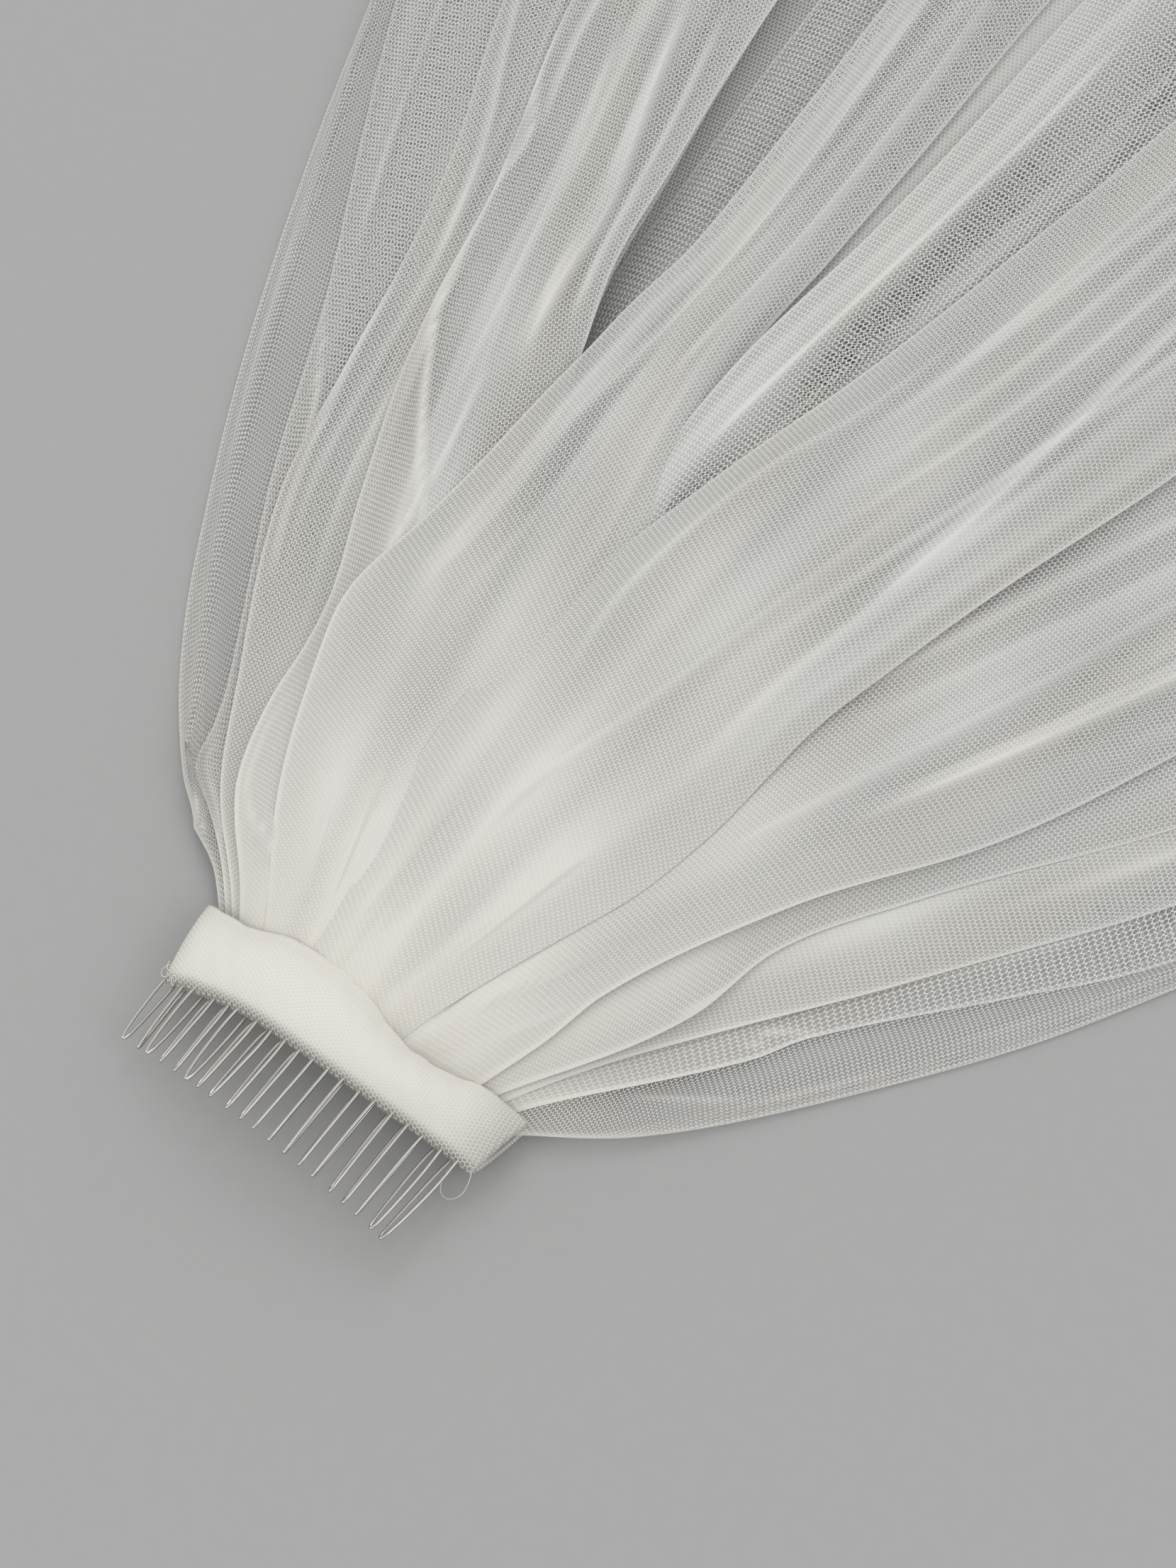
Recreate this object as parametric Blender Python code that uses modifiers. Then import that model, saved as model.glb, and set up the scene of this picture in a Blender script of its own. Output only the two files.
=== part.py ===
# Bridal veil of gathered net on a wire comb, lying on a table.
# Built in metres, +Z up. The comb's arch runs along X, its teeth point to -Y and the veil
# fans out to +Y. The last step centres the garment over the origin, resting on Z = 0.

from math import atan, cos, degrees, exp, pi, radians, sin, sqrt

import bmesh
import bpy

MM = 0.001

# Comb, in millimetres
TOOTH_COUNT = 20
TOOTH_PITCH = 4.0
COMB_ARCH = 9.6            # rise of the arch between its first and last tooth
COMB_END_HEIGHT = 7.2      # height of the outer teeth above the table
WIRE_RADIUS = 0.4
SPINE_RADIUS = 0.6
SPINE_Y = -1.5
LEG_SPREAD = 1.4           # half the distance between the two legs of one tooth
TOOTH_TIP_Y = -30.2

# Band of folded net, sewn round the comb's top
BAND_HALF_LENGTH = 43.0
BAND_TEETH_Y = -7.6        # edge that the teeth leave, at the comb's middle
BAND_TEETH_SKEW = 0.075    # that edge runs slightly askew to the spine
BAND_MOUTH_Y = 7.2         # edge that the gathers leave
BAND_TEETH_CLEAR = 2.15    # half the height between the band's faces where the teeth leave
BAND_WALL = 1.2
BAND_FRONT_CLEAR = 1.2     # clearance between the gathers and the band's front face
BAND_BACK_CLEAR = 0.45     # and its back face
BAND_SWELL = 1.5           # plumpness of each face
BAND_DIMPLES = 13          # small dips along the edge that the gathers leave
DIMPLE_BACK = 0.9          # how far a dimple draws that edge back
DIMPLE_DEPTH = 0.45        # and how deep it is
END_SQUARENESS = 16        # the band's ends are nearly square, with rounded corners
END_PINCH = 0.4            # share of the height lost at the very end

# Veil
FAN_BACK = 60.0            # the folds fan out from a point this far in front of the spine
ROOT_Y = 2.6               # where the gathers end inside the band
ROOT_HALF = 39.0           # half the gathered width
VEIL_LENGTH = 750.0
WALL = 1.0                 # thickness of one lay of cloth
ROLL_WALL = 1.25           # share of it that a wall takes up where the cloth rolls over
TOP_WALL = 1.5             # and on the steep sides of the right fall's folds
GAP = 0.45                 # clearance between one lay and the next
FALL_CLEAR = 0.3           # more of it under the two falls
TOP_CLEAR = 1.3            # and under the top fold, once it has left the band
ROOT_STACK = 3.9           # half the height of the gathers where the band grips them
LAYER_PRESSED = 0.65       # height of a hidden layer where the band grips it
LAYER_LOOSE = 0.55         # height that it gains further out
PUFF_HEIGHT = 15.0         # air under the upper lays near the comb
PUFF_PEAK = 85.0           # distance at which it is highest
PUFF_FADE = 115.0          # and how fast it sinks after that
PUFF_FAR = 6.0             # air that stays under them further out
PUFF_WIDTH = 1.12          # the puff ends short of the outlines
PUFF_ROUNDNESS = 0.9
LIP_HEIGHT = 2.0           # rounded fold along an upper lay's edge
LIP_WIDTH = 5.0
LIP_TO_FOLDS = 9.0         # the long folds keep this far from the edge
GATHER_PRESSED = 0.30      # depth of the fine gathers in the band
GATHER_LOOSE = 0.85        # depth that they gain just outside it
GATHER_LOSS = 0.92         # share of that lost further out
FOLD_LOSS = 0.35           # share of the long folds' height lost at the hem
FOLD_WANDER = 0.012        # sideways wander of the long folds, as a share of the lay's width
WANDER_LENGTH = 110.0
WANDER_SHIFT = 9.0
OFF_ROLL = 1.8             # how far the hidden folds keep clear of the strips' rolls
SECTION_PINCH = 0.3        # share of a fold edge's width left where the band grips it

# Distances from the comb over which something changes smoothly, in millimetres
SETTLE_SPAN = (8.0, 95.0)          # the veil comes down from the comb's arch to the table
STRAIGHT_SPAN = (6.0, 66.0)        # its sections turn from straight lines into arcs
PINCH_SPAN = (6.0, 50.0)           # fold edges open out
ROLL_SPAN = (10.0, 60.0)           # the strips' rolls rise
OFF_ROLL_SPAN = (250.0, 400.0)     # the hidden folds draw back from them
LAYER_SPAN = (8.0, 68.0)           # the layers loosen
PUFF_SPAN = (8.0, 83.0)            # the puff by the comb rises
PUFF_FAR_SPAN = (80.0, 230.0)      # the air further out takes over
PUFF_END_SPAN = (420.0, 720.0)     # and goes
GATHER_SPAN = (8.0, 34.0)          # the fine gathers deepen
GATHER_END_SPAN = (60.0, 320.0)    # and go
FOLD_SPAN = (20.0, 190.0)          # the long folds rise
FOLD_END_SPAN = (450.0, 750.0)     # and flatten
TOP_SPAN = (0.0, 160.0)            # the top fold leaves the fall below it

# Rolls along the outlines: the edges that they lie between and their rise
STRIP_ROLLS = (("outline_left", "strip_left", 6.0), ("strip_right", "outline_right", 2.6))

# Edges of the lays as they fan out: the distance from the comb in millimetres, then the
# direction of each edge in degrees, left to right as seen with the comb towards the viewer.
EDGE_NAMES = ("distance",
              "outline_left", "strip_left", "second_left", "third_left", "fall_left",
              "wedge_left", "wedge_right", "top_left", "top_right",
              "fall_right", "third_right", "second_right", "strip_right", "outline_right")
EDGE_ROWS = (
    (6, -31.5, -30.2, -28.8, -27.4, -26.0, -17.1, -16.4, -8.0, 12.0, 26.0, 27.4, 28.8, 30.2, 31.5),
    (40, -39.0, -36.2, -33.6, -31.2, -29.4, -17.0, -16.4, -8.0, 12.0, 26.8, 28.6, 30.4, 33.0, 36.8),
    (80, -40.3, -35.8, -33.2, -29.8, -27.2, -16.8, -16.2, -7.6, 12.0, 25.6, 27.8, 30.8, 33.8, 38.5),
    (130, -38.6, -34.2, -31.4, -28.2, -25.6, -16.7, -16.1, -6.8, 12.2, 25.1, 27.8, 31.6, 34.8, 38.3),
    (190, -36.0, -32.4, -29.0, -27.0, -25.0, -16.6, -15.4, -5.2, 12.6, 24.7, 28.6, 32.2, 34.7, 36.2),
    (290, -32.6, -31.4, -27.2, -25.6, -23.8, -15.5, -12.0, -4.5, 12.5, 24.0, 27.4, 30.2, 32.0, 33.4),
    (390, -30.8, -29.6, -24.6, -23.4, -21.4, -14.2, -9.8, -4.6, 11.2, 22.4, 24.6, 27.9, 29.6, 31.0),
    (500, -29.0, -26.6, -23.4, -21.2, -20.0, -12.0, -8.9, -2.9, 11.2, 19.6, 23.2, 25.0, 27.4, 28.8),
    (620, -27.6, -26.2, -21.9, -20.6, -17.9, -11.6, -6.9, -3.6, 9.4, 18.9, 20.8, 23.6, 25.2, 27.3),
    (750, -26.5, -24.2, -21.2, -19.0, -16.9, -10.2, -7.0, -2.4, 9.8, 16.8, 19.8, 21.8, 24.4, 26.0),
)

# Long soft folds of the upper lays. place is a share of the lay's width.
FOLD_NAMES = ("place", "half_width", "height")
LEFT_FALL_FOLDS = ((0.24, 0.15, 6.0), (0.70, 0.19, 8.5))
RIGHT_FALL_FOLDS = ((0.07, 0.05, 5.5), (0.19, 0.06, 8.5), (0.34, 0.07, 5.0), (0.48, 0.06, 8.0),
                    (0.64, 0.07, 10.0), (0.79, 0.05, 6.5), (0.91, 0.04, 8.0))
TOP_FOLD_FOLDS = ((0.18, 0.12, 7.0), (0.52, 0.15, 5.0), (0.84, 0.10, 8.0))

# Distances from the comb at which the cloth's sections stand, in millimetres
SECTIONS = (6, 14, 23, 34, 48, 66, 90, 122, 165, 222, 295, 385, 500, 625, 750)
STAGGER_START = 400.0      # past this the lays' lengths begin to differ

# Hidden layers left at each distance, where their hems end one short of the other
HIDDEN_LAYERS = 3
HEM_STEPS =((722.0, 3.0), (725.0, 2.2), (731.5, 2.0), (734.0, 1.25), (739.0, 1.0), (743.0, 0.55))

CLOTH_COLOUR = (0.80, 0.80, 0.78, 1.0)
BAND_COLOUR = (0.86, 0.84, 0.79, 1.0)
WIRE_COLOUR = (0.72, 0.70, 0.68, 1.0)


def clear_scene():
    for item in list(bpy.data.objects):
        bpy.data.objects.remove(item, do_unlink=True)


def new_collection(name):
    collection = bpy.data.collections.new(name)
    bpy.context.scene.collection.children.link(collection)
    return collection


def new_material(name, colour, roughness, metallic):
    material = bpy.data.materials.new(name)
    material.use_nodes = True
    shader = material.node_tree.nodes["Principled BSDF"]
    shader.inputs["Base Color"].default_value = colour
    shader.inputs["Roughness"].default_value = roughness
    shader.inputs["Metallic"].default_value = metallic
    return material


def ease(value):
    """Smooth rise from 0 to 1 as value goes from 0 to 1."""
    value = min(max(value, 0.0), 1.0)
    return value * value * (3.0 - 2.0 * value)


def over(span, distance):
    """Smooth rise from 0 to 1 between the span's two distances."""
    return ease((distance - span[0]) / (span[1] - span[0]))


def arch_height(x):
    """Height of the comb's middle line above the table."""
    half = TOOTH_PITCH * (TOOTH_COUNT - 1) / 2.0
    return COMB_END_HEIGHT + COMB_ARCH * (1.0 - (x / half) ** 2)


def arch_lean(x):
    """Lean of the arch's normal from the vertical, as sine and cosine."""
    half = TOOTH_PITCH * (TOOTH_COUNT - 1) / 2.0
    slope = 2.0 * COMB_ARCH * x / half ** 2
    return sin(atan(slope)), cos(atan(slope))


def edge_angle(name, distance):
    """Direction of a lay's edge in degrees, on a smooth curve through the table's rows."""
    column = EDGE_NAMES.index(name)
    places = [row[0] for row in EDGE_ROWS]
    values = [row[column] for row in EDGE_ROWS]
    last = len(places) - 1
    k = 0
    while k < last - 1 and distance > places[k + 1]:
        k += 1
    before, after = max(k - 1, 0), min(k + 2, last)
    span = places[k + 1] - places[k]
    slope_in = (values[k + 1] - values[before]) / (places[k + 1] - places[before])
    slope_out = (values[after] - values[k]) / (places[after] - places[k])
    t = (distance - places[k]) / span
    return ((2 * t ** 3 - 3 * t ** 2 + 1) * values[k] + (t ** 3 - 2 * t ** 2 + t) * span * slope_in
            + (3 * t ** 2 - 2 * t ** 3) * values[k + 1] + (t ** 3 - t ** 2) * span * slope_out)


def share_of_width(angle, distance):
    """-1 at the veil's left outline, 0 at its middle, 1 at its right outline."""
    side = "outline_left" if angle < 0 else "outline_right"
    return angle / abs(edge_angle(side, distance))


def table_lift(angle, distance):
    """Height of the veil's underside: it leaves the band on the comb's arch and comes to rest."""
    root = ROOT_HALF * share_of_width(angle, distance)
    return max(0.0, arch_height(root) - ROOT_STACK) * (1.0 - over(SETTLE_SPAN, distance))


def floor_underside(angle, distance):
    """Underside of the lowest lay, with a soft roll along each outer edge."""
    height = table_lift(angle, distance)
    for low, high, rise in STRIP_ROLLS:
        start, stop = edge_angle(low, distance), edge_angle(high, distance)
        if start < angle < stop:
            bulge = sin(pi * (angle - start) / (stop - start)) ** 2
            height += rise * over(ROLL_SPAN, distance) * bulge
    return height


def layer_height(distance):
    """Height that each hidden layer adds, pressed thin where the band grips the gathers."""
    return LAYER_PRESSED + LAYER_LOOSE * over(LAYER_SPAN, distance)


def puff(angle, distance):
    """Air held by the stiff gathers: highest a hand's breadth from the comb, gone at the hem."""
    past_peak = max(0.0, distance - PUFF_PEAK) / PUFF_FADE
    near = PUFF_HEIGHT * over(PUFF_SPAN, distance) * exp(-past_peak ** 2)
    far = PUFF_FAR * over(PUFF_FAR_SPAN, distance) * (1.0 - over(PUFF_END_SPAN, distance))
    outward = min(1.0, abs(share_of_width(angle, distance)) * PUFF_WIDTH)
    return (near + far) * max(0.0, cos(0.5 * pi * outward)) ** PUFF_ROUNDNESS


def heap_underside(angle, distance):
    return floor_underside(angle, distance) + WALL * ROLL_WALL + GAP


def heap_top(layers, angle, distance):
    return (heap_underside(angle, distance) + layers * layer_height(distance)
            + puff(angle, distance))


def fold_relief(folds, share, distance):
    """Long folds that grow away from the comb and flatten a little at the hem."""
    growth = over(FOLD_SPAN, distance) * (1.0 - FOLD_LOSS * over(FOLD_END_SPAN, distance))
    height = 0.0
    for row in folds:
        fold = dict(zip(FOLD_NAMES, row))
        phase = distance / WANDER_LENGTH + fold["place"] * WANDER_SHIFT
        reach = (share - fold["place"] - FOLD_WANDER * sin(phase)) / fold["half_width"]
        height += fold["height"] * growth * exp(-reach ** 2)
    return height


def gather_depth(distance):
    """Depth of the fine gathers: shallow in the band, deepest near it, gone by the middle."""
    kept = 1.0 - GATHER_LOSS * over(GATHER_END_SPAN, distance)
    return GATHER_PRESSED + GATHER_LOOSE * over(GATHER_SPAN, distance) * kept


def lip(inward, distance):
    """Rounded fold along an upper lay's edge: rise above what it lies on, by distance inward."""
    return LIP_HEIGHT * sqrt(ease(inward / LIP_WIDTH)) * over(PINCH_SPAN, distance)


def upper_relief(lay, share, inward, distance):
    """Height of an upper lay above what it lies on, at a share of its width."""
    height = lip(inward, distance)
    height += fold_relief(lay["folds"], share, distance) * ease(inward / LIP_TO_FOLDS)
    height += gather_depth(distance) * (0.5 - 0.5 * cos(2.0 * pi * lay["gathers"] * share))
    return height


RIGHT_FALL = {"left": "wedge_right", "right": "fall_right", "gathers": 20, "hem": 717.0,
              "folds": RIGHT_FALL_FOLDS}
LEFT_FALL = {"left": "fall_left", "right": "wedge_left", "gathers": 5, "hem": 714.0,
             "folds": LEFT_FALL_FOLDS}
TOP_FOLD = {"left": "top_left", "right": "top_right", "gathers": 8, "hem": 706.0,
            "folds": TOP_FOLD_FOLDS}


def upper_base(angle, distance):
    """What the two falls lie on: the top of the hidden folds, with clearance."""
    return heap_top(HIDDEN_LAYERS, angle, distance) + GAP + FALL_CLEAR


def top_fold_base(angle, distance):
    """What the top fold lies on: the right fall's highest gathers, with clearance."""
    start = edge_angle("wedge_right", distance)
    stop = edge_angle("fall_right", distance)
    share = (angle - start) / (stop - start)
    below = fold_relief(RIGHT_FALL_FOLDS, share, distance) + gather_depth(distance)
    below += lip(LIP_WIDTH, distance)
    clear = WALL * TOP_WALL + GAP + TOP_CLEAR * over(TOP_SPAN, distance)
    return upper_base(angle, distance) + below + clear


def fan_point(angle, distance, height):
    """Point on the fan, in metres. Near the band the sections straighten to lie along it."""
    turn = radians(angle)
    straight = (ROOT_Y + FAN_BACK) / cos(turn) - FAN_BACK - SECTIONS[0]
    radius = distance + straight * (1.0 - over(STRAIGHT_SPAN, distance)) + FAN_BACK
    return (radius * sin(turn) * MM, (radius * cos(turn) - FAN_BACK) * MM, height * MM)


def sections_to(hem):
    """Distances of a lay's sections, with the outer ones drawn in to the lay's own hem."""
    inner = [distance for distance in SECTIONS if distance < STAGGER_START]
    outer = [distance for distance in SECTIONS if distance >= STAGGER_START]
    ratio = (hem - STAGGER_START) / (VEIL_LENGTH - STAGGER_START)
    return inner + [STAGGER_START + (distance - STAGGER_START) * ratio for distance in outer]


def edge_pinch(distance):
    """Width of a rounded fold edge as a share of its full width."""
    return SECTION_PINCH + (1.0 - SECTION_PINCH) * over(PINCH_SPAN, distance)


def sheet_rows(columns, lower_side, upper_side, sections):
    """Lower and upper points of a lay: a list of columns for each section."""
    rows = []
    for distance in sections:
        angles = columns(distance)
        low = [lower_side(angle, distance) for angle in angles]
        high = upper_side(angles, low, distance)
        rows.append([(fan_point(angle, distance, a), fan_point(angle, distance, b))
                     for angle, a, b in zip(angles, low, high)])
    return rows


def thick_sheet(name, rows, material, collection):
    """Closed lay of cloth: a grid, extruded once, whose points move to the rows' places."""
    columns, sections = len(rows[0]), len(rows)
    grid = bmesh.new()
    bmesh.ops.create_grid(grid, x_segments=columns - 1, y_segments=sections - 1, size=1.0)
    raised = bmesh.ops.extrude_face_region(grid, geom=grid.faces[:], use_keep_orig=True)
    tops = [item for item in raised["geom"] if isinstance(item, bmesh.types.BMVert)]
    bmesh.ops.translate(grid, verts=tops, vec=(0.0, 0.0, 1.0))
    for vert in grid.verts:
        column = round((vert.co.x + 1.0) * 0.5 * (columns - 1))
        section = round((vert.co.y + 1.0) * 0.5 * (sections - 1))
        vert.co = rows[section][column][1 if vert.co.z > 0.5 else 0]
    bmesh.ops.recalc_face_normals(grid, faces=grid.faces[:])
    return finish_mesh(name, grid, material, collection)


def finish_mesh(name, source, material, collection):
    mesh = bpy.data.meshes.new(name)
    source.to_mesh(mesh)
    source.free()
    mesh.materials.append(material)
    mesh.shade_smooth()
    mesh.set_sharp_from_angle(angle=radians(40.0))
    item = bpy.data.objects.new(name, mesh)
    collection.objects.link(item)
    return item


def wall_over(angles, low, distance):
    """Upper side of a wall of even thickness over the lower side's heights."""
    steps = [(distance + FAN_BACK) * radians(b - a) for a, b in zip(angles, angles[1:])]
    slopes = [(b - a) / step for a, b, step in zip(low, low[1:], steps)]
    high = []
    for k, height in enumerate(low):
        near = slopes[max(k - 1, 0):k + 1] or slopes[:1]
        slope = sum(near) / len(near)
        high.append(height + WALL * sqrt(1.0 + slope * slope))
    return high


def spread(start, stop, count):
    return [start + (stop - start) * k / count for k in range(1, count)]


def build_floor_lay(material, collection):
    """Lowest lay: it lies on the table and shows as a rolled strip along both outlines."""
    def columns(distance):
        names = ("outline_left", "strip_left", "strip_right", "outline_right")
        left, strip_left, strip_right, right = [edge_angle(name, distance) for name in names]
        return ([left] + spread(left, strip_left, 4) + [strip_left]
                + spread(strip_left, strip_right, 10)
                + [strip_right] + spread(strip_right, right, 4) + [right])

    rows = sheet_rows(columns, floor_underside, wall_over, SECTIONS)
    return thick_sheet("veil_floor_lay", rows, material, collection)


def build_inner_folds(material, collection):
    """Hidden layers as one rounded solid, stepped at the fold edges that show."""
    left_names = ("strip_left", "second_left", "third_left")
    right_names = ("strip_right", "second_right", "third_right")
    insets = (0.0, 0.9, 3.2)        # columns by each fold edge, in millimetres inward
    rolls = (0.25, 1.55, 1.60)      # height of the rounded fold there, in layers

    def layout(distance):
        """Angle and height, in layers, of each column from left to right."""
        off_roll = OFF_ROLL * over(OFF_ROLL_SPAN, distance)
        left, right = [], []
        for level in range(HIDDEN_LAYERS):
            for inset, roll in zip(insets, rolls):
                turn = degrees((inset * edge_pinch(distance) + off_roll) / (distance + FAN_BACK))
                left.append((edge_angle(left_names[level], distance) + turn, level + roll))
                right.append((edge_angle(right_names[level], distance) - turn, level + roll))
        middle = [(turn, HIDDEN_LAYERS) for turn in spread(left[-1][0], right[-1][0], 9)]
        return left + middle + right[::-1]

    def columns(distance):
        return [turn for turn, _ in layout(distance)]

    def upper_side(angles, low, distance):
        left = [layers for reach, layers in HEM_STEPS if distance >= reach]
        most = min(left or [HIDDEN_LAYERS])
        return [heap_top(min(layers, most), turn, distance) for turn, layers in layout(distance)]

    sections = sections_to(HEM_STEPS[0][0])[:-1] + [reach for reach, _ in HEM_STEPS]
    rows = sheet_rows(columns, heap_underside, upper_side, sections)
    return thick_sheet("veil_inner_folds", rows, material, collection)


def build_upper_lay(name, lay, base, material, collection):
    """Gathered upper lay with rounded fold edges and long soft folds."""
    lip_columns = (0.0, 1.1, 3.0)
    inner = lay["gathers"] * 4

    def columns(distance):
        left = edge_angle(lay["left"], distance)
        right = edge_angle(lay["right"], distance)
        per_mm = degrees(edge_pinch(distance) / (distance + FAN_BACK))
        start = [left + inset * per_mm for inset in lip_columns]
        end = [right - inset * per_mm for inset in reversed(lip_columns)]
        return start + spread(start[-1], end[0], inner - 2) + end

    def lower_side(angle, distance):
        left = edge_angle(lay["left"], distance)
        right = edge_angle(lay["right"], distance)
        share = (angle - left) / (right - left)
        inward = radians(min(angle - left, right - angle)) * (distance + FAN_BACK)
        return base(angle, distance) + upper_relief(lay, share, inward, distance)

    sections = sections_to(RIGHT_FALL["hem"])[:-1] + [lay["hem"]]
    rows = sheet_rows(columns, lower_side, wall_over, sections)
    return thick_sheet(name, rows, material, collection)


def build_wire(name, points, radius, material, collection):
    curve = bpy.data.curves.new(name, "CURVE")
    curve.dimensions = "3D"
    curve.bevel_depth = radius * MM
    curve.bevel_resolution = 2
    curve.use_fill_caps = True
    spline = curve.splines.new("POLY")
    spline.points.add(len(points) - 1)
    for target, point in zip(spline.points, points):
        target.co = (point[0] * MM, point[1] * MM, point[2] * MM, 1.0)
    curve.materials.append(material)
    item = bpy.data.objects.new(name, curve)
    collection.objects.link(item)
    return item


def build_tooth(number, material, collection):
    """One hairpin of wire: over the spine, out to a rounded tip and back under the spine."""
    x = TOOTH_PITCH * (number - (TOOTH_COUNT - 1) / 2.0)
    side, up = arch_lean(x)
    profile = ((0.6, 0.95), (SPINE_Y, 1.0), (-13.0, 0.96), (-26.8, 0.68), (-29.4, 0.42))
    upper = [(y, LEG_SPREAD * share) for y, share in profile]
    path = upper + [(TOOTH_TIP_Y, 0.0)] + [(y, -offset) for y, offset in reversed(upper)]
    points = [(x + offset * side, y, arch_height(x) + offset * up) for y, offset in path]
    return build_wire(f"comb_tooth_{number + 1:02d}", points, WIRE_RADIUS, material, collection)


def build_spine(material, collection):
    half = TOOTH_PITCH * (TOOTH_COUNT - 1) / 2.0 + 1.2
    steps = 12
    places = [half * (2.0 * k / steps - 1.0) for k in range(steps + 1)]
    points = [(x, SPINE_Y, arch_height(x)) for x in places]
    return build_wire("comb_spine", points, SPINE_RADIUS, material, collection)


def build_band_side(name, side, material, collection):
    """One face of the folded band: a plump arched strip, open to the teeth and the gathers."""
    along, across = 40, 6
    mouth_clear = ROOT_STACK + (BAND_FRONT_CLEAR if side > 0 else BAND_BACK_CLEAR)
    grid = bmesh.new()
    bmesh.ops.create_grid(grid, x_segments=along, y_segments=across, size=1.0)
    for vert in grid.verts:
        u, v = vert.co.x, 0.5 + 0.5 * vert.co.y
        x = u * BAND_HALF_LENGTH
        round_end = sqrt(max(0.0, 1.0 - abs(u) ** END_SQUARENESS))
        teeth_y = BAND_TEETH_Y + BAND_TEETH_SKEW * x
        dimple = 0.5 - 0.5 * cos(pi * BAND_DIMPLES * (u + 1.0))
        mouth_y = BAND_MOUTH_Y - DIMPLE_BACK * dimple
        y = teeth_y + (mouth_y - teeth_y) * v
        clear = BAND_TEETH_CLEAR + (mouth_clear - BAND_TEETH_CLEAR) * v
        swell = BAND_SWELL * sin(pi * v) - DIMPLE_DEPTH * dimple * v * v * side
        offset = clear * (1.0 - END_PINCH * (1.0 - round_end)) + max(0.0, swell) * round_end
        vert.co = (x * MM, y * MM, (arch_height(x) + side * offset) * MM)
    item = finish_mesh(name, grid, material, collection)
    wall = item.modifiers.new("wall", "SOLIDIFY")
    wall.thickness = BAND_WALL * MM
    wall.offset = float(side)
    return item


def centre_garment(items):
    """Parent every piece to one empty, placed so that the garment rests over the origin."""
    bpy.context.view_layer.update()
    scene_state = bpy.context.evaluated_depsgraph_get()
    corners = []
    for item in items:
        shape = item.evaluated_get(scene_state).to_mesh()
        corners.extend(item.matrix_world @ vert.co for vert in shape.vertices)
        item.evaluated_get(scene_state).to_mesh_clear()
    middle = [0.5 * (min(c[k] for c in corners) + max(c[k] for c in corners)) for k in (0, 1)]
    holder = bpy.data.objects.new("garment", None)
    bpy.context.scene.collection.objects.link(holder)
    holder.location = (-middle[0], -middle[1], -min(c[2] for c in corners))
    for item in items:
        item.parent = holder


def build_veil():
    clear_scene()
    collection = new_collection("bridal_veil")
    cloth = new_material("net", CLOTH_COLOUR, 0.85, 0.0)
    band = new_material("band_net", BAND_COLOUR, 0.8, 0.0)
    wire = new_material("silver_wire", WIRE_COLOUR, 0.25, 1.0)
    items = [build_spine(wire, collection)]
    items += [build_tooth(number, wire, collection) for number in range(TOOTH_COUNT)]
    items.append(build_band_side("band_front", 1, band, collection))
    items.append(build_band_side("band_back", -1, band, collection))
    items.append(build_floor_lay(cloth, collection))
    items.append(build_inner_folds(cloth, collection))
    items.append(build_upper_lay("veil_left_fall", LEFT_FALL, upper_base, cloth, collection))
    items.append(build_upper_lay("veil_right_fall", RIGHT_FALL, upper_base, cloth, collection))
    items.append(build_upper_lay("veil_top_fold", TOP_FOLD, top_fold_base, cloth, collection))
    centre_garment(items)


build_veil()
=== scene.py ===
from math import cos, pi, radians, sin, sqrt

import bmesh
import bpy
import numpy as np
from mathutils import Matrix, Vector


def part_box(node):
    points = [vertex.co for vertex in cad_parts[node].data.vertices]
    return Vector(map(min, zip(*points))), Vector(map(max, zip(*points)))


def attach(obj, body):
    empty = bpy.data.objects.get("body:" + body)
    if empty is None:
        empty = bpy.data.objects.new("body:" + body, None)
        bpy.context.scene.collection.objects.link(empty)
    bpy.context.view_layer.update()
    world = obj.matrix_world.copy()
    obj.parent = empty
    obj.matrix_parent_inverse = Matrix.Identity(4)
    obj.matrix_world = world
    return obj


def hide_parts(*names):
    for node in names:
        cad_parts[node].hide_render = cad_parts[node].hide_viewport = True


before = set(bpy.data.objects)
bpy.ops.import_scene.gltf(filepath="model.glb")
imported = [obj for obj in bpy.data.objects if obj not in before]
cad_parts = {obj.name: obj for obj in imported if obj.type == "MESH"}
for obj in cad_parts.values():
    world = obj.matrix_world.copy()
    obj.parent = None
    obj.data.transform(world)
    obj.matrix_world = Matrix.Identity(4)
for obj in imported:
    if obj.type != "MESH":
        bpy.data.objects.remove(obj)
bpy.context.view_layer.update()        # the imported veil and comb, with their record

mm = 0.001

# The fan is measured from the comb: a distance in millimetres and a direction in degrees
spineLow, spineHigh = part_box("comb_spine")
combX = 0.5 * (spineLow[0] + spineHigh[0])
combY = 0.5 * (spineLow[1] + spineHigh[1]) + 1.5 * mm      # the spine lies 1.5 mm in front

cameraSettings = {
    "azimuth": 38.0,
    "elevation": 64.0,
    "distance": 0.65,
    "target": (3.0, 84.4, 0.0),      # millimetres from the comb
    "lens": 64.2,
    "sensor": 36.0,
    "clip": (0.01, 20.0),
}


def addCamera(settings):
    azimuth, elevation = radians(settings["azimuth"]), radians(settings["elevation"])
    back = Vector((sin(azimuth) * cos(elevation), -cos(azimuth) * cos(elevation), sin(elevation)))
    x, y, z = settings["target"]
    target = Vector((combX + x * mm, combY + y * mm, z * mm))
    data = bpy.data.cameras.new("camera")
    data.lens = settings["lens"]
    data.sensor_width = settings["sensor"]
    data.clip_start, data.clip_end = settings["clip"]
    camera = bpy.data.objects.new("camera", data)
    bpy.context.scene.collection.objects.link(camera)
    camera.location = target + back * settings["distance"]
    camera.rotation_euler = back.to_track_quat("Z", "Y").to_euler()
    bpy.context.scene.camera = camera


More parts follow.
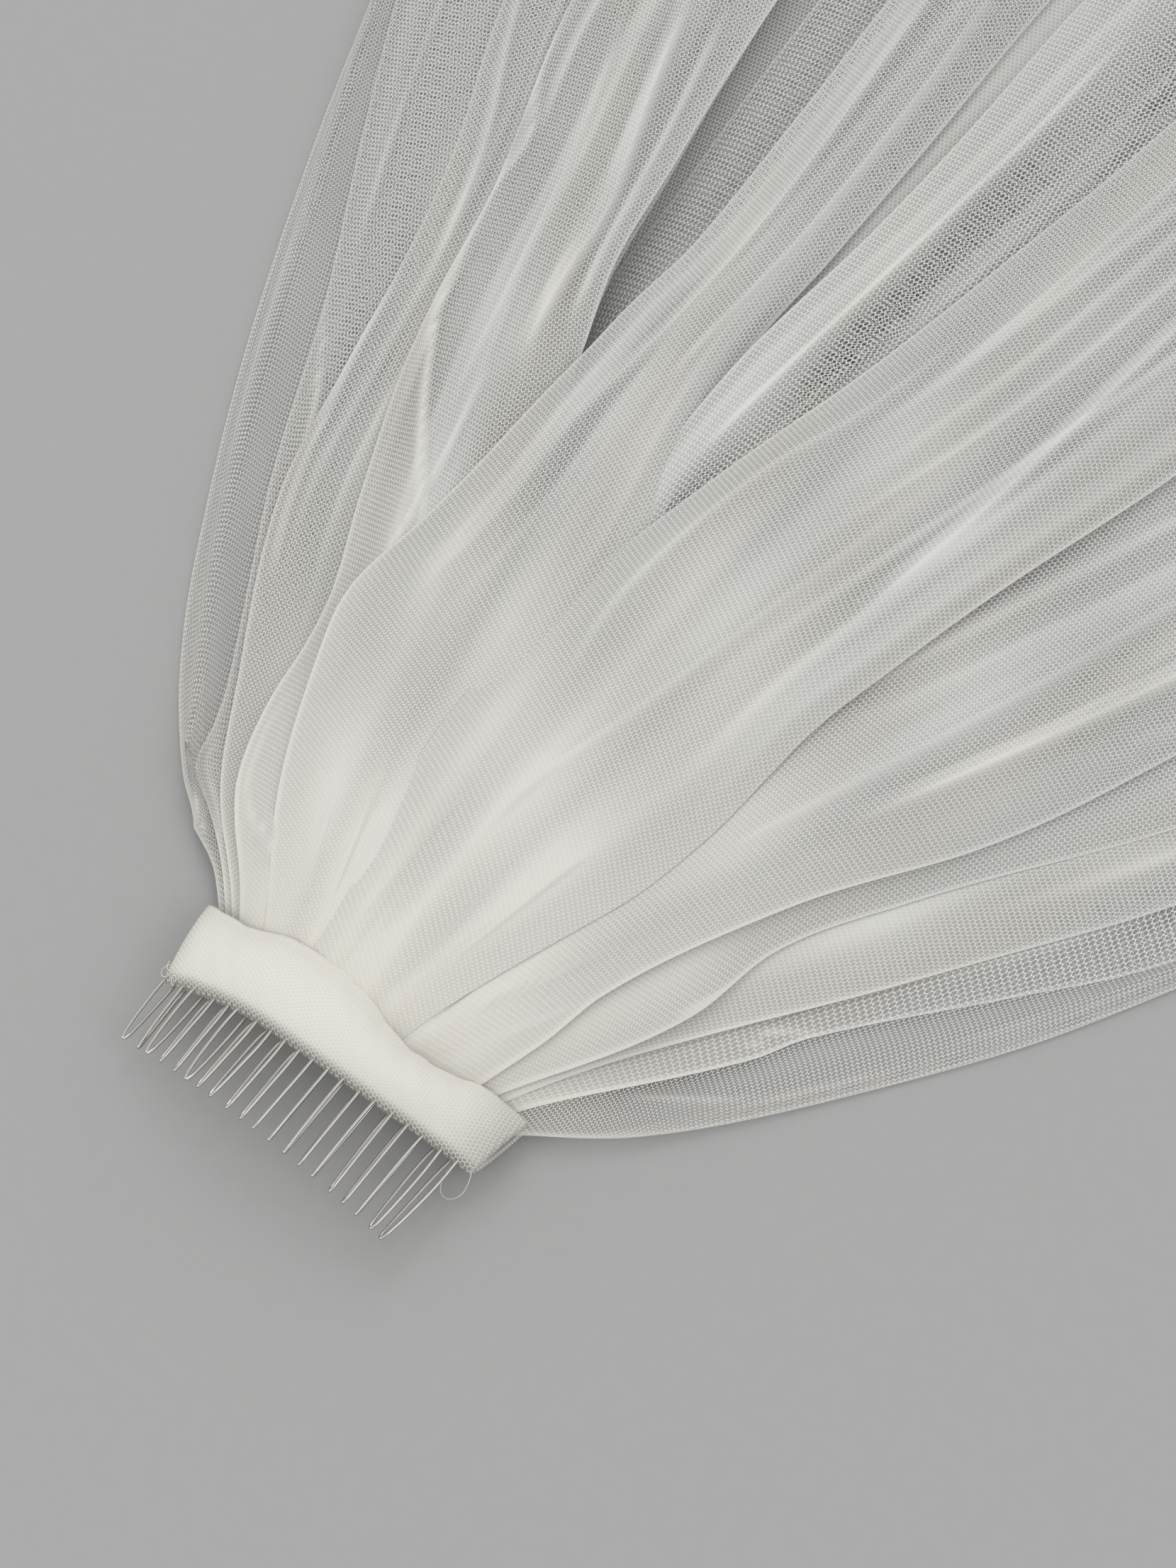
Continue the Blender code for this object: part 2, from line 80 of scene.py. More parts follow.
studioSettings = {
    "floorSize": 12.0,
    "floorColour": (0.385, 0.386, 0.387, 1.0),
    "floorGrain": 260.0, "floorTint": 1.05,      # fine mottling, and how much lighter it gets
    "floorRoughness": 0.85,
    "floorDrop": 0.3 * mm,
    "worldColour": (1.0, 0.997, 0.985, 1.0),
    "worldStrength": 0.74,
    "lights": (       # name, place, size and watts
        ("key", (-0.9, 0.9, 1.5), 1.3, 8.5),
        ("side", (1.3, -0.4, 1.2), 1.0, 3.5),
        ("front", (-0.5, -1.5, 1.0), 0.9, 3.5),
    ),
}


def addStudio(settings):
    bm = bmesh.new()
    bmesh.ops.create_grid(bm, x_segments=1, y_segments=1, size=settings["floorSize"])
    bmesh.ops.translate(bm, verts=bm.verts, vec=(0.0, 0.0, -settings["floorDrop"]))
    floor = meshObject("floor", bm)
    material, tree, shader = newMaterial("paleFloor")
    place = addNode(tree, "ShaderNodeTexCoord").outputs["Object"]
    noise = addNode(tree, "ShaderNodeTexNoise", {"Scale": settings["floorGrain"], "Detail": 4.0,
                                                 "Vector": place})
    lighter = [settings["floorTint"] * part for part in settings["floorColour"][:3]] + [1.0]
    feed(tree, shader, {
        "Base Color": mixed(tree, noise.outputs["Fac"], settings["floorColour"], lighter),
        "Roughness": settings["floorRoughness"]})
    floor.data.materials.append(material)
    for name, place, size, watts in settings["lights"]:
        data = bpy.data.lights.new(name, "AREA")
        data.shape, data.size, data.energy = "DISK", size, watts
        light = bpy.data.objects.new(name, data)
        bpy.context.scene.collection.objects.link(light)
        light.location = place
        light.rotation_euler = Vector(place).to_track_quat("Z", "Y").to_euler()
    world = bpy.data.worlds.new("studio")
    bpy.context.scene.world = world
    world.use_nodes = True
    background = world.node_tree.nodes["Background"]
    background.inputs["Color"].default_value = settings["worldColour"]
    background.inputs["Strength"].default_value = settings["worldStrength"]
    bpy.context.scene.view_settings.view_transform = "Standard"


def meshObject(name, bm):
    mesh = bpy.data.meshes.new(name)
    bm.to_mesh(mesh)
    bm.free()
    mesh.shade_smooth()
    piece = bpy.data.objects.new(name, mesh)
    bpy.context.scene.collection.objects.link(piece)
    return piece


def newMaterial(name):
    material = bpy.data.materials.new(name)
    material.use_nodes = True
    tree = material.node_tree
    return material, tree, tree.nodes["Principled BSDF"]


def feed(tree, node, values):
    for key, value in values.items():
        if isinstance(value, bpy.types.NodeSocket):
            tree.links.new(value, node.inputs[key])
        else:
            node.inputs[key].default_value = value


def addNode(tree, kind, values=None, **options):
    node = tree.nodes.new(kind)
    for option, value in options.items():
        setattr(node, option, value)
    feed(tree, node, values or {})
    return node


def maths(tree, operation, first, second):
    return addNode(tree, "ShaderNodeMath", {0: first, 1: second}, operation=operation).outputs[0]


def mixed(tree, share, first, second, blend="MIX"):
    return addNode(tree, "ShaderNodeMix", {0: share, 6: first, 7: second},
                   data_type="RGBA", blend_type=blend).outputs[2]


def scaled(tree, value, low, high):
    return addNode(tree, "ShaderNodeMapRange", {"Value": value, "To Min": low,
                                                "To Max": high}).outputs["Result"]


def bumped(tree, height, strength, distance):
    return addNode(tree, "ShaderNodeBump", {"Height": height, "Strength": strength,
                                            "Distance": distance}).outputs[0]


def ride(piece, slot, *nodes):
    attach(piece, "root")
    if nodes:
        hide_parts(*nodes)


# The net: a lattice of round holes on the piece's own UV map. "fill" closes the holes where
# the cloth is gathered or folded, and "tone" warms it near the comb.
netSettings = {
    "pitch": 1.2 * mm,          # distance between the holes of one row
    "hole": 0.447,              # radius of a hole, as a share of the pitch
    "soft": 0.06,               # softness of its rim
    "cool": (0.735, 0.735, 0.715, 1.0),
    "warm": (0.785, 0.76, 0.705, 1.0),
    "depth": (0.80, 0.80, 0.805, 1.0),      # painted shade in a closed hole, standing in for the shaded net behind it
    "evened": 0.7,              # how much of that shade is lost where the net is dense
    "roughThread": 0.62,
    "roughHole": 0.8,
    "sheen": 0.25,
    "sheenRoughness": 0.4,
    "specular": 0.25,
    "bump": 0.5,
    "thread": 0.06 * mm,        # height of the threads
}
bandNetSettings = {
    **netSettings,
    "warm": (0.85, 0.828, 0.775, 1.0),
    # painted shade in the band's closed holes, for the shaded layers behind them
    "depth": (0.70, 0.695, 0.685, 1.0),
    "pitch": 0.9 * mm,
    "thread": 0.07 * mm,
}


def netMaterial(name, settings):
    material, tree, shader = newMaterial(name)
    pitch = settings["pitch"]
    half = [0.5 * side for side in (pitch, pitch * sqrt(3.0), 0.0)]
    weave = addNode(tree, "ShaderNodeUVMap", uv_map="weave").outputs[0]
    reach = []
    for offset in ((0.0, 0.0, 0.0), half):
        shifted = addNode(tree, "ShaderNodeVectorMath", {0: weave, 1: offset}, operation="ADD")
        cell = addNode(tree, "ShaderNodeVectorMath", {
            0: shifted.outputs[0], 1: half, 2: [-side for side in half]}, operation="WRAP")
        length = addNode(tree, "ShaderNodeVectorMath", {0: cell.outputs[0]}, operation="LENGTH")
        reach.append(length.outputs["Value"])
    hole = addNode(tree, "ShaderNodeMapRange", {
        "Value": maths(tree, "MINIMUM", *reach),
        "From Min": pitch * (settings["hole"] - settings["soft"]),
        "From Max": pitch * (settings["hole"] + settings["soft"]),
        "To Min": 1.0, "To Max": 0.0}).outputs["Result"]
    fill = addNode(tree, "ShaderNodeAttribute", attribute_name="fill").outputs["Fac"]
    tone = addNode(tree, "ShaderNodeAttribute", attribute_name="tone").outputs["Fac"]
    clear = maths(tree, "MULTIPLY", hole, maths(tree, "SUBTRACT", 1.0, fill))
    paintedShadeLeft = maths(tree, "SUBTRACT", 1.0, maths(tree, "MULTIPLY", fill, settings["evened"]))
    tint = mixed(tree, tone, settings["cool"], settings["warm"])
    # painted shade: the colour darkens towards "depth" in each closed hole, for the shaded layers
    # behind it, and less where the net is dense
    feed(tree, shader, {
        "Alpha": maths(tree, "SUBTRACT", 1.0, clear),
        "Base Color": mixed(tree, maths(tree, "MULTIPLY", hole, paintedShadeLeft), tint,
                            settings["depth"], "MULTIPLY"),
        "Roughness": scaled(tree, hole, settings["roughThread"], settings["roughHole"]),
        "Normal": bumped(tree, maths(tree, "SUBTRACT", 1.0, hole), settings["bump"],
                         settings["thread"]),
        "Sheen Weight": settings["sheen"],
        "Sheen Roughness": settings["sheenRoughness"],
        "Specular IOR Level": settings["specular"]})
    return material


# Edges of the lays, each a line of (distance, direction)
edgeLines = {
    "outlineLeft": (
        (6, -31.5), (21, -34.2), (26, -35.7), (31, -37.5), (36, -37.8), (51, -39.4), (80, -40.3),
        (130, -38.6), (190, -36.0), (290, -32.6), (390, -30.8), (500, -29.0), (620, -27.6),
        (750, -26.5)),
    "stripLeft": (
        (6, -30.2), (24, -33.2), (39, -35.8), (54, -38.0), (66, -36.3), (78, -35.3), (130, -34.2),
        (190, -32.4), (290, -31.4), (390, -29.6), (500, -26.6), (620, -26.2), (750, -24.2)),
    "secondLeft": (
        (6, -28.8), (40, -34.2), (80, -34.4), (130, -33.3), (167, -30.4), (201, -28.3),
        (241, -27.1), (290, -26.8), (390, -24.6), (500, -23.4), (620, -21.9), (750, -21.2)),
    "fallLeft": (
        (6, -27.2), (20, -29.4), (32, -31.4), (45, -32.4), (58, -31.9), (72, -30.4), (86, -28.4),
        (102, -27.1), (127, -26.9), (161, -26.6), (189, -25.8), (225, -24.6), (290, -23.8),
        (390, -21.4), (500, -20.0), (620, -17.9), (750, -16.9)),
    "wedgeLeft": (
        (6, -15.2), (80, -15.0), (130, -15.4), (176, -16.0), (209, -16.6), (245, -16.1),
        (290, -15.5), (390, -14.2), (500, -12.0), (620, -11.6), (750, -10.2)),
    "wedgeSlit": (
        (6, -14.0), (120, -16.0), (200, -17.2), (245, -15.9), (307, -14.3), (390, -12.6),
        (500, -10.8), (620, -9.4), (750, -8.8)),
    "stripEdge": (
        (6, -22.0), (40, -26.4), (84, -26.4), (101, -25.4), (121, -21.6), (142, -18.8),
        (176, -16.0), (197, -14.8), (223, -13.2), (270, -12.1), (317, -11.2), (390, -9.8),
        (500, -8.9), (620, -6.9), (750, -7.0)),
    "slitLeft": (
        (6, -3.0), (80, -3.0), (130, -4.8), (165, -6.6), (197, -7.5), (233, -6.8), (295, -6.0),
        (336, -5.6), (390, -5.0), (500, -4.0), (620, -3.4), (750, -2.8)),
    "slitRight": (
        (6, -9.0), (80, -9.0), (130, -8.6), (165, -8.0), (197, -7.4), (242, -5.9), (297, -4.9),
        (341, -4.3), (390, -3.4), (500, -1.8), (620, -1.0), (750, -0.2)),
    "darkLeft": (
        (6, -2.0), (80, -2.0), (120, -5.0), (136, -6.0), (165, -5.2), (200, -4.2), (260, -2.8),
        (312, -1.9), (390, -0.8), (500, 1.2), (620, 1.8), (750, 2.6)),
    "darkRight": (
        (6, -12.0), (60, -12.0), (100, -9.6), (120, -7.8), (136, -6.2), (164, -3.9), (190, -2.1),
        (213, -1.0), (250, 0.2), (319, 1.6), (390, 2.8), (500, 4.6), (620, 4.6), (750, 5.6)),
    "darkUnder": (
        (6, 0.0), (80, 0.0), (130, -1.4), (165, 0.6), (213, 2.4), (319, 4.6), (390, 5.4),
        (500, 7.0), (620, 7.0), (750, 7.8)),
    "topRight": (
        (6, 12.0), (60, 15.4), (87, 14.8), (122, 13.0), (149, 12.9), (237, 13.3), (290, 12.8),
        (390, 11.2), (500, 11.2), (620, 9.4), (750, 9.8)),
    "fallRight": (
        (6, 26.0), (30, 24.4), (49, 22.6), (90, 23.0), (139, 25.2), (194, 25.1), (290, 24.0),
        (390, 22.4), (500, 19.6), (620, 18.9), (750, 16.8)),
    "thirdRight": (
        (6, 27.4), (40, 28.6), (65, 28.0), (88, 25.6), (121, 26.4), (186, 28.5), (290, 27.4),
        (390, 24.6), (500, 23.2), (620, 20.8), (750, 19.8)),
    "secondRight": (
        (6, 28.8), (43, 29.2), (64, 29.8), (113, 31.3), (178, 32.4), (290, 30.2), (390, 27.9),
        (500, 25.0), (620, 23.6), (750, 21.8)),
    "stripRight": (
        (6, 30.2), (40, 32.2), (74, 33.4), (88, 33.0), (133, 34.6), (173, 35.2), (290, 32.0),
        (390, 29.6), (500, 27.4), (620, 25.2), (750, 24.4)),
    "outlineRight": (
        (6, 32.2), (22, 36.4), (40, 38.2), (80, 38.9), (130, 38.2), (190, 36.2), (290, 33.4),
        (390, 31.0), (500, 28.8), (620, 27.3), (750, 26.0)),
}
fanBack = 60.0        # the folds fan out from a point this far in front of the spine
firstRow = 6.0        # and the lays start this far behind it, inside the band


def lineThrough(points, at):
    places, values = np.array(points, dtype=float).T
    k = np.clip(np.searchsorted(places, at, side="left") - 1, 0, len(places) - 2)
    before, after = np.maximum(k - 1, 0), np.minimum(k + 2, len(places) - 1)
    gap = places[k + 1] - places[k]
    slopeIn = (values[k + 1] - values[before]) / (places[k + 1] - places[before])
    slopeOut = (values[after] - values[k]) / (places[after] - places[k])
    t = (at - places[k]) / gap
    return ((2 * t ** 3 - 3 * t ** 2 + 1) * values[k] + (t ** 3 - 2 * t ** 2 + t) * gap * slopeIn
            + (3 * t ** 2 - 2 * t ** 3) * values[k + 1] + (t ** 3 - t ** 2) * gap * slopeOut)


def edgeAngle(name, s):
    return lineThrough(edgeLines[name], s)


def ease(value):
    value = np.clip(value, 0.0, 1.0)
    return value * value * (3.0 - 2.0 * value)


def over(start, stop, s):
    return ease((s - start) / (stop - start))


def steps(parts, s):
    return sum(part * over(start, stop, s) for part, start, stop in parts)


# All in millimetres. A reach is where something sets in and where it is full, a fade where it
# starts to go and is gone, and a pair of heights is what is there at first and what it gains.
heapSettings = {
    "archEnd": 7.2, "archRise": 9.6, "archHalf": 38.0,      # the comb's arch
    "rootHalf": 39.0, "rootY": 2.6, "rootStack": 3.9,       # the gathers in the band
    "rootStop": 66.0,       # from here on the folds fan out
    "downReach": (8.0, 95.0),       # the lowest lay comes down to the table
    "leftRoll": 6.0, "rightRoll": 2.6, "rollReach": (10.0, 60.0),       # the outer strips
    "ground": 1.2, "levels": 3.0,       # where the heap of hidden lays begins, and how many
    "layer": (0.65, 0.55), "layerReach": (8.0, 68.0),
    "puff": 15.0, "puffRise": ((0.12, 6.0, 18.0), (0.88, 8.0, 83.0)),       # air in the heap
    "puffCrest": 85.0, "puffFall": 115.0,
    "puffFar": 6.0, "farReach": (80.0, 230.0), "farFade": (420.0, 720.0),
}


def archHeight(x):
    h = heapSettings
    return h["archEnd"] + h["archRise"] * (1.0 - (x / h["archHalf"]) ** 2)


def fanPoint(angle, s):
    turn = np.radians(angle)
    straight = (heapSettings["rootY"] + fanBack) / np.cos(turn) - fanBack - firstRow
    radius = s + straight * (1.0 - over(firstRow, heapSettings["rootStop"], s)) + fanBack
    return radius * np.sin(turn), radius * np.cos(turn) - fanBack


def shareOfWidth(angle, s):
    left, right = edgeAngle("outlineLeft", s), edgeAngle("outlineRight", s)
    return np.where(angle < 0, -angle / left, angle / right)


def floorHeight(angle, s):
    h = heapSettings
    root = h["rootHalf"] * shareOfWidth(angle, s)
    height = np.maximum(0.0, archHeight(root) - h["rootStack"]) * (1.0 - over(*h["downReach"], s))
    for low, high, rise in (("outlineLeft", "stripLeft", h["leftRoll"]),
                            ("stripRight", "outlineRight", h["rightRoll"])):
        start, stop = edgeAngle(low, s), edgeAngle(high, s)
        across = np.clip((angle - start) / (stop - start), 0.0, 1.0)
        height = height + rise * over(*h["rollReach"], s) * np.sin(pi * across) ** 2
    return height


def heapHeight(level, angle, s):
    h = heapSettings
    pressed, gained = h["layer"]
    layer = pressed + gained * over(*h["layerReach"], s)
    near = h["puff"] * steps(h["puffRise"], s)
    near = near * np.exp(-(np.maximum(0.0, s - h["puffCrest"]) / h["puffFall"]) ** 2)
    far = h["puffFar"] * over(*h["farReach"], s) * (1.0 - over(*h["farFade"], s))
    outward = np.minimum(1.0, np.abs(shareOfWidth(angle, s)) * 1.12)
    puff = (near + far) * np.cos(0.5 * pi * outward).clip(0.0) ** 0.9
    return floorHeight(angle, s) + h["ground"] + level * layer + level / h["levels"] * puff


foldSettings = {
    # long folds: soft near the comb, full beyond
    "longReach": (60.0, 250.0), "longFade": (450.0, 750.0), "faded": 0.35,
    "height": (0.34, 0.7), "fullReach": (285.0, 365.0),
    "gather": (0.05, 0.45), "gatherReach": (8.0, 20.0), "gatherFade": (22.0, 58.0),
}


def longFolds(folds, share, s):
    h = foldSettings
    growth = over(*h["longReach"], s) * (1.0 - h["faded"] * over(*h["longFade"], s))
    soft, gained = h["height"]
    growth = growth * (soft + gained * over(*h["fullReach"], s))
    height = 0.0
    for place, halfWidth, rise in folds:
        wander = 0.012 * np.sin(s / 110.0 + place * 9.0)
        height = height + rise * growth * np.exp(-((share - place - wander) / halfWidth) ** 2)
    return height


def gatherGrowth(s):
    h = foldSettings
    return over(*h["gatherReach"], s) * (1.0 - over(*h["gatherFade"], s))


def fineGathers(count, share, s, seed):
    # short uneven puckers that start in the band and die out in the puff
    least, most = foldSettings["gather"]
    depth = least + most * gatherGrowth(s)
    drift = 0.9 * np.sin(s / 47.0 + seed) + 1.6 * np.sin(5.1 * share + seed * 1.7)
    phase = 2 * pi * count * share + drift
    wave = (0.6 * np.sin(phase + 0.5 * np.sin(s / 19.0 + 14.0 * share))
            + 0.4 * np.sin(1.73 * phase + s / 31.0 + seed))
    uneven = 0.5 + 0.5 * np.sin(2 * pi * count * 0.31 * share + seed * 2.3 + s / 90.0)
    return depth * uneven * (0.5 + 0.5 * wave)


def slackWaves(angle, s, seed):
    first = np.sin(angle * 0.42 + s / 71.0 + seed) * np.sin(s / 58.0 - angle * 0.11 + seed * 2.1)
    second = np.sin(angle * 1.05 - s / 37.0 + seed * 3.3) * np.sin(s / 33.0 + seed)
    return 0.9 * first + 0.35 * second


def creaseReach(points, x, y):
    # signed distance to a smooth line through the points, and how far along it that place is
    places = np.array([fanPoint(np.array(angle), np.array(float(s))) for s, angle in points])
    fine = np.linspace(0.0, len(places) - 1.0, 6 * (len(places) - 1) + 1)
    k = np.minimum(fine.astype(int), len(places) - 2)
    t = (fine - k)[:, None]
    a, b = places[np.maximum(k - 1, 0)], places[k]
    c, d = places[k + 1], places[np.minimum(k + 2, len(places) - 1)]
    line = 0.5 * (2 * b + (c - a) * t + (2 * a - 5 * b + 4 * c - d) * t ** 2
                  + (3 * b - a - 3 * c + d) * t ** 3)
    nearest = np.full(x.shape, 1e9)
    side = np.zeros(x.shape)
    along = np.zeros(x.shape)
    for number in range(len(line) - 1):
        start, step = line[number], line[number + 1] - line[number]
        size = float(step @ step)
        t = np.clip(((x - start[0]) * step[0] + (y - start[1]) * step[1]) / size, 0.0, 1.0)
        dx, dy = x - start[0] - t * step[0], y - start[1] - t * step[1]
        reach = np.hypot(dx, dy)
        closer = reach < nearest
        nearest = np.where(closer, reach, nearest)
        side = np.where(closer, np.sign(step[0] * dy - step[1] * dx), side)
        along = np.where(closer, (number + t) / (len(line) - 1), along)
    return nearest * side, along


def creaseRelief(creases, x, y):
    # a crease is steep on one side and soft on the other, shines along its line, may double
    # the net over a few millimetres on its soft side, and fades out at both ends
    height = np.zeros(x.shape)
    shine = np.zeros(x.shape)
    for points, rise, steep, gentle, bright, doubled in creases:
        reach, along = creaseReach(points, x, y)
        fade = ease(along / 0.22) * ease((1.0 - along) / 0.22)
        left = np.exp(-(reach / steep) ** 2)
        right = np.exp(-(reach / gentle) ** 2)
        height += rise * fade * np.where(reach > 0, left, right)
        shine += bright * fade * np.exp(-(reach / 0.8) ** 2)
        if doubled:
            inside = ease(0.5 - reach / 0.8) * ease((doubled + reach) / 1.2)
            shine += 0.3 * fade * inside
    return height, shine


rightFolds = ((0.07, 0.06, 5.5), (0.19, 0.07, 8.5), (0.34, 0.08, 5.0), (0.48, 0.07, 8.0),
              (0.64, 0.08, 10.0), (0.79, 0.06, 6.5), (0.91, 0.05, 8.0))
leftFolds = ((0.24, 0.15, 6.0), (0.70, 0.19, 8.5))
topFolds = ((0.18, 0.12, 7.0), (0.52, 0.16, 5.0), (0.84, 0.11, 8.0))
laySettings = {
    "rows": 120, "rowGrowth": 1.3,      # rows stand closer by the comb
    "insets": (0.0, 0.12, 0.45, 0.95, 1.7, 2.8, 4.4), "pinchStop": 56.0,    # columns by each edge
    "edgeWidth": 12.0, "edgeFall": 18.0,        # how a lay thins and sinks to its edge
    "rimPower": 2.5, "rimReach": (10.0, 34.0), "thinnest": 0.1,
    "openStop": 46.0, "apartReach": (60.0, 170.0),      # the lays are pressed together at first
    "waves": 0.8, "waveReach": (25.0, 120.0),
    "hiddenWaves": (0.25, 0.12), "hiddenGathers": 0.3,      # what a hidden lay has of them
    "fallGap": 0.75, "fallBody": (0.4, 1.5),        # a fall above the heap, and its own height
    "lowFolds": 0.3, "lowGathers": 0.25,        # what its underside has of its folds
    "foldInset": 22.0,      # folds and waves die out this near an edge
    "clearEdge": 0.38, "clearInset": 16.0, "softInset": 10.0, "followDrop": 0.1,
    "covered": 0.85, "coverEdge": 2.5,
    "lift": ((0.2, 14.0, 40.0), (0.8, 60.0, 150.0)), "liftFade": (150.0, 215.0),
    # how closed the net is
    "edgeShine": 0.55, "edgeLine": 0.8,     # threads crowd along a fold
    "trueSize": 460.0, "squeeze": 0.3,      # the gathers crowd the holes
    "streaks": 0.11, "fineStreaks": 0.025, "streakReach": (60.0, 150.0),    # hidden lays
    "patches": 0.17, "patchFade": (150.0, 320.0),
    "pleatLine": 0.24, "pleatWidth": 1.1, "pleatStrip": 0.13,       # thin folds of the net
    "pleatStart": (120.0, 45.0, 70.0), "pleatStop": (400.0, 230.0, 110.0),
    "stripWidth": (3.4, 2.2),
    "fillInset": 14.0, "pleatInset": 5.0,
    "steepFill": 0.55, "mostFill": 0.97,
    "warmReach": 85.0,
}


def layRows(hem):
    t = np.linspace(0.0, 1.0, laySettings["rows"])
    growth = laySettings["rowGrowth"]
    share = (np.exp(growth * t) - 1.0) / (np.exp(growth) - 1.0)
    return (firstRow + (hem - firstRow) * share)[:, None]


def layColumns(width, s, inner, double):
    pinch = 0.3 + 0.7 * over(firstRow, laySettings["pinchStop"], s)
    insets = np.array(laySettings["insets"])[None, :] * pinch
    insets = np.minimum(insets, 0.3 * width)
    first, last = insets[:, -1:], width - insets[:, -1:]
    middle = first + (last - first) * np.linspace(0.0, 1.0, inner + 2)[None, 1:-1]
    upper = np.hstack((insets, middle, width - insets[:, ::-1]))
    side = np.ones(upper.shape[1])
    if not double:
        return upper, side
    half = inner // 4
    part = np.linspace(0.0, 1.0, half + 2)[None, 1:]
    toLeft = first + (0.52 * width - first) * part
    toRight = last + (0.48 * width - last) * part
    start = np.hstack((toLeft[:, ::-1], insets[:, :0:-1]))
    end = np.hstack((width - insets[:, 1:], toRight))
    across = np.hstack((start, upper, end))
    side = np.hstack((-np.ones(start.shape[1]), side, -np.ones(end.shape[1])))
    return across, side


def edgeWobble(s, seed):
    # edges are never quite straight: up to half a millimetre each way
    sway = 0.3 * np.sin(s / 31.0 + seed * 1.9) + 0.15 * np.sin(s / 12.3 + seed * 4.1)
    return np.degrees(sway * over(30.0, 110.0, s) / (s + fanBack))


def buildLay(lay, material):
    h = laySettings
    double = lay.get("double", True)
    s = layRows(lay["hem"])
    left, right = edgeAngle(lay["left"], s), edgeAngle(lay["right"], s)
    left = left + lay.get("inLeft", 0.0) + edgeWobble(s, lay["seed"])
    right = right - lay.get("inRight", 0.0) + edgeWobble(s, lay["seed"] + 1.4)
    width = np.radians(right - left) * (s + fanBack)
    across, side = layColumns(width, s, lay["columns"], double)
    s = np.broadcast_to(s, across.shape)
    angle = left + np.degrees(across / (s + fanBack))
    x, y = fanPoint(angle, s)
    share = (angle - left) / (right - left)
    inward = np.minimum(across, width - across)
    opened = over(firstRow, h["openStop"], s)
    apart = over(*h["apartReach"], s)
    creaseHigh, shine = creaseRelief(lay.get("creases", ()), x, y)
    waves = slackWaves(angle, s, lay["seed"]) * over(*h["waveReach"], s)
    gathers = fineGathers(lay["gathers"], share, s, lay["seed"])
    # each edge sinks by a part of a level, on to the lay below it
    sinkLeft, sinkRight = lay.get("sink", (0.0, 0.0))
    sunk = (sinkLeft * (1.0 - ease(across / h["edgeFall"]))
            + sinkRight * (1.0 - ease((width - across) / h["edgeFall"])))
    if "level" in lay:        # a hidden lay, between two levels of the heap
        low, high = [heapHeight(level - sunk, angle, s) for level in lay["level"]]
        highWaves, lowWaves = h["hiddenWaves"]
        high = high + highWaves * waves + h["hiddenGathers"] * gathers + creaseHigh
        low = low + lowWaves * waves
    else:                     # a fall on the top of the heap
        base = heapHeight(heapSettings["levels"] - sunk, angle, s) + h["fallGap"]
        if "under" in lay:
            folds, start, stop = lay["under"]
            a, b = edgeAngle(start, s), edgeAngle(stop, s)
            base = base + longFolds(folds, (angle - a) / (b - a), s)
            near, far = lay["clear"]
            inset = h["clearInset"]
            if "follow" in lay:        # its right half follows the fall that it lies on
                toRight = ease(2.0 * share - 0.5)
                fallWaves = slackWaves(angle, s, lay["follow"])
                follow = h["waves"] * fallWaves * over(*h["waveReach"], s) - h["followDrop"]
                follow = follow + foldSettings["gather"][1] * gatherGrowth(s)
                base = base + toRight * follow
                waves = waves * (1.0 - toRight * (1.0 - ease(inward / h["foldInset"])))
                inset = inset + h["softInset"] * toRight
            near = near * (h["clearEdge"] + (1.0 - h["clearEdge"]) * ease(inward / inset))
            base = base + near + (far - near) * apart
        a, b = [edgeAngle(name, s) for name in lay["span"]]
        relief = longFolds(lay["folds"], (angle - a) / (b - a), s) * ease(inward / h["foldInset"])
        if "cover" in lay:    # pressed flat where a neighbour lies on it
            name, start, stop = lay["cover"]
            covered = ease((angle - edgeAngle(name, s) + 1.0) / h["coverEdge"])
            covered = covered * (1.0 - over(start, stop, s))
            relief = relief * (1.0 - h["covered"] * covered)
            creaseHigh = creaseHigh * (1.0 - covered)
        relief = relief + h["waves"] * waves
        raised = lay.get("lift", 0.0) * steps(h["lift"], s) * (1.0 - over(*h["liftFade"], s))
        pressed, gained = h["fallBody"]
        high = base + raised + (pressed + gained * apart) + relief + gathers + creaseHigh
        low = base + raised + h["lowFolds"] * relief + h["lowGathers"] * gathers
    softer = 1.0 + over(*h["rimReach"], s) * (1.0 - apart)
    edge = np.clip(inward / (h["edgeWidth"] * (0.3 + 0.7 * opened) * softer), 0.0, 1.0)
    rim = 1.0 - (1.0 - edge) ** h["rimPower"]
    z = np.where(side > 0, low + np.maximum(high - low, h["thinnest"]) * rim, low)
    sheetObject(lay, x, y, z, s, angle, share, inward, shine, material)


def thinPleats(lay, share, width, s):
    # each is a bright line with a doubled strip beside it; they start and end unevenly
    h = laySettings
    usual, varied = h["stripWidth"]
    startMiddle, startSpread, startLength = h["pleatStart"]
    stopMiddle, stopSpread, stopLength = h["pleatStop"]
    count = lay.get("pleats", 5)
    fill = np.zeros(share.shape)
    for number in range(count):
        phase = lay["seed"] * 3.7 + number * 2.4
        place = (number + 0.5 + 0.38 * sin(phase)) / count
        lean = 0.11 * sin(1.7 * phase + 0.6)
        line = place + lean * (s - 220.0) / 200.0 + 0.018 * np.sin(s / 63.0 + phase)
        reach = (share - line) * width
        strip = (usual + varied * sin(2.9 * phase)) * (1 if sin(4.1 * phase) > 0 else -1)
        start = startMiddle + startSpread * sin(2.3 * phase)
        stop = stopMiddle + stopSpread * sin(3.1 * phase)
        present = over(start, start + startLength, s) * (1.0 - over(stop, stop + stopLength, s))
        inside = ease(reach / strip * 4.0) * ease((1.0 - reach / strip) * 2.5)
        fill = fill + present * (h["pleatLine"] * np.exp(-(reach / h["pleatWidth"]) ** 2)
                                 + h["pleatStrip"] * inside)
    return fill


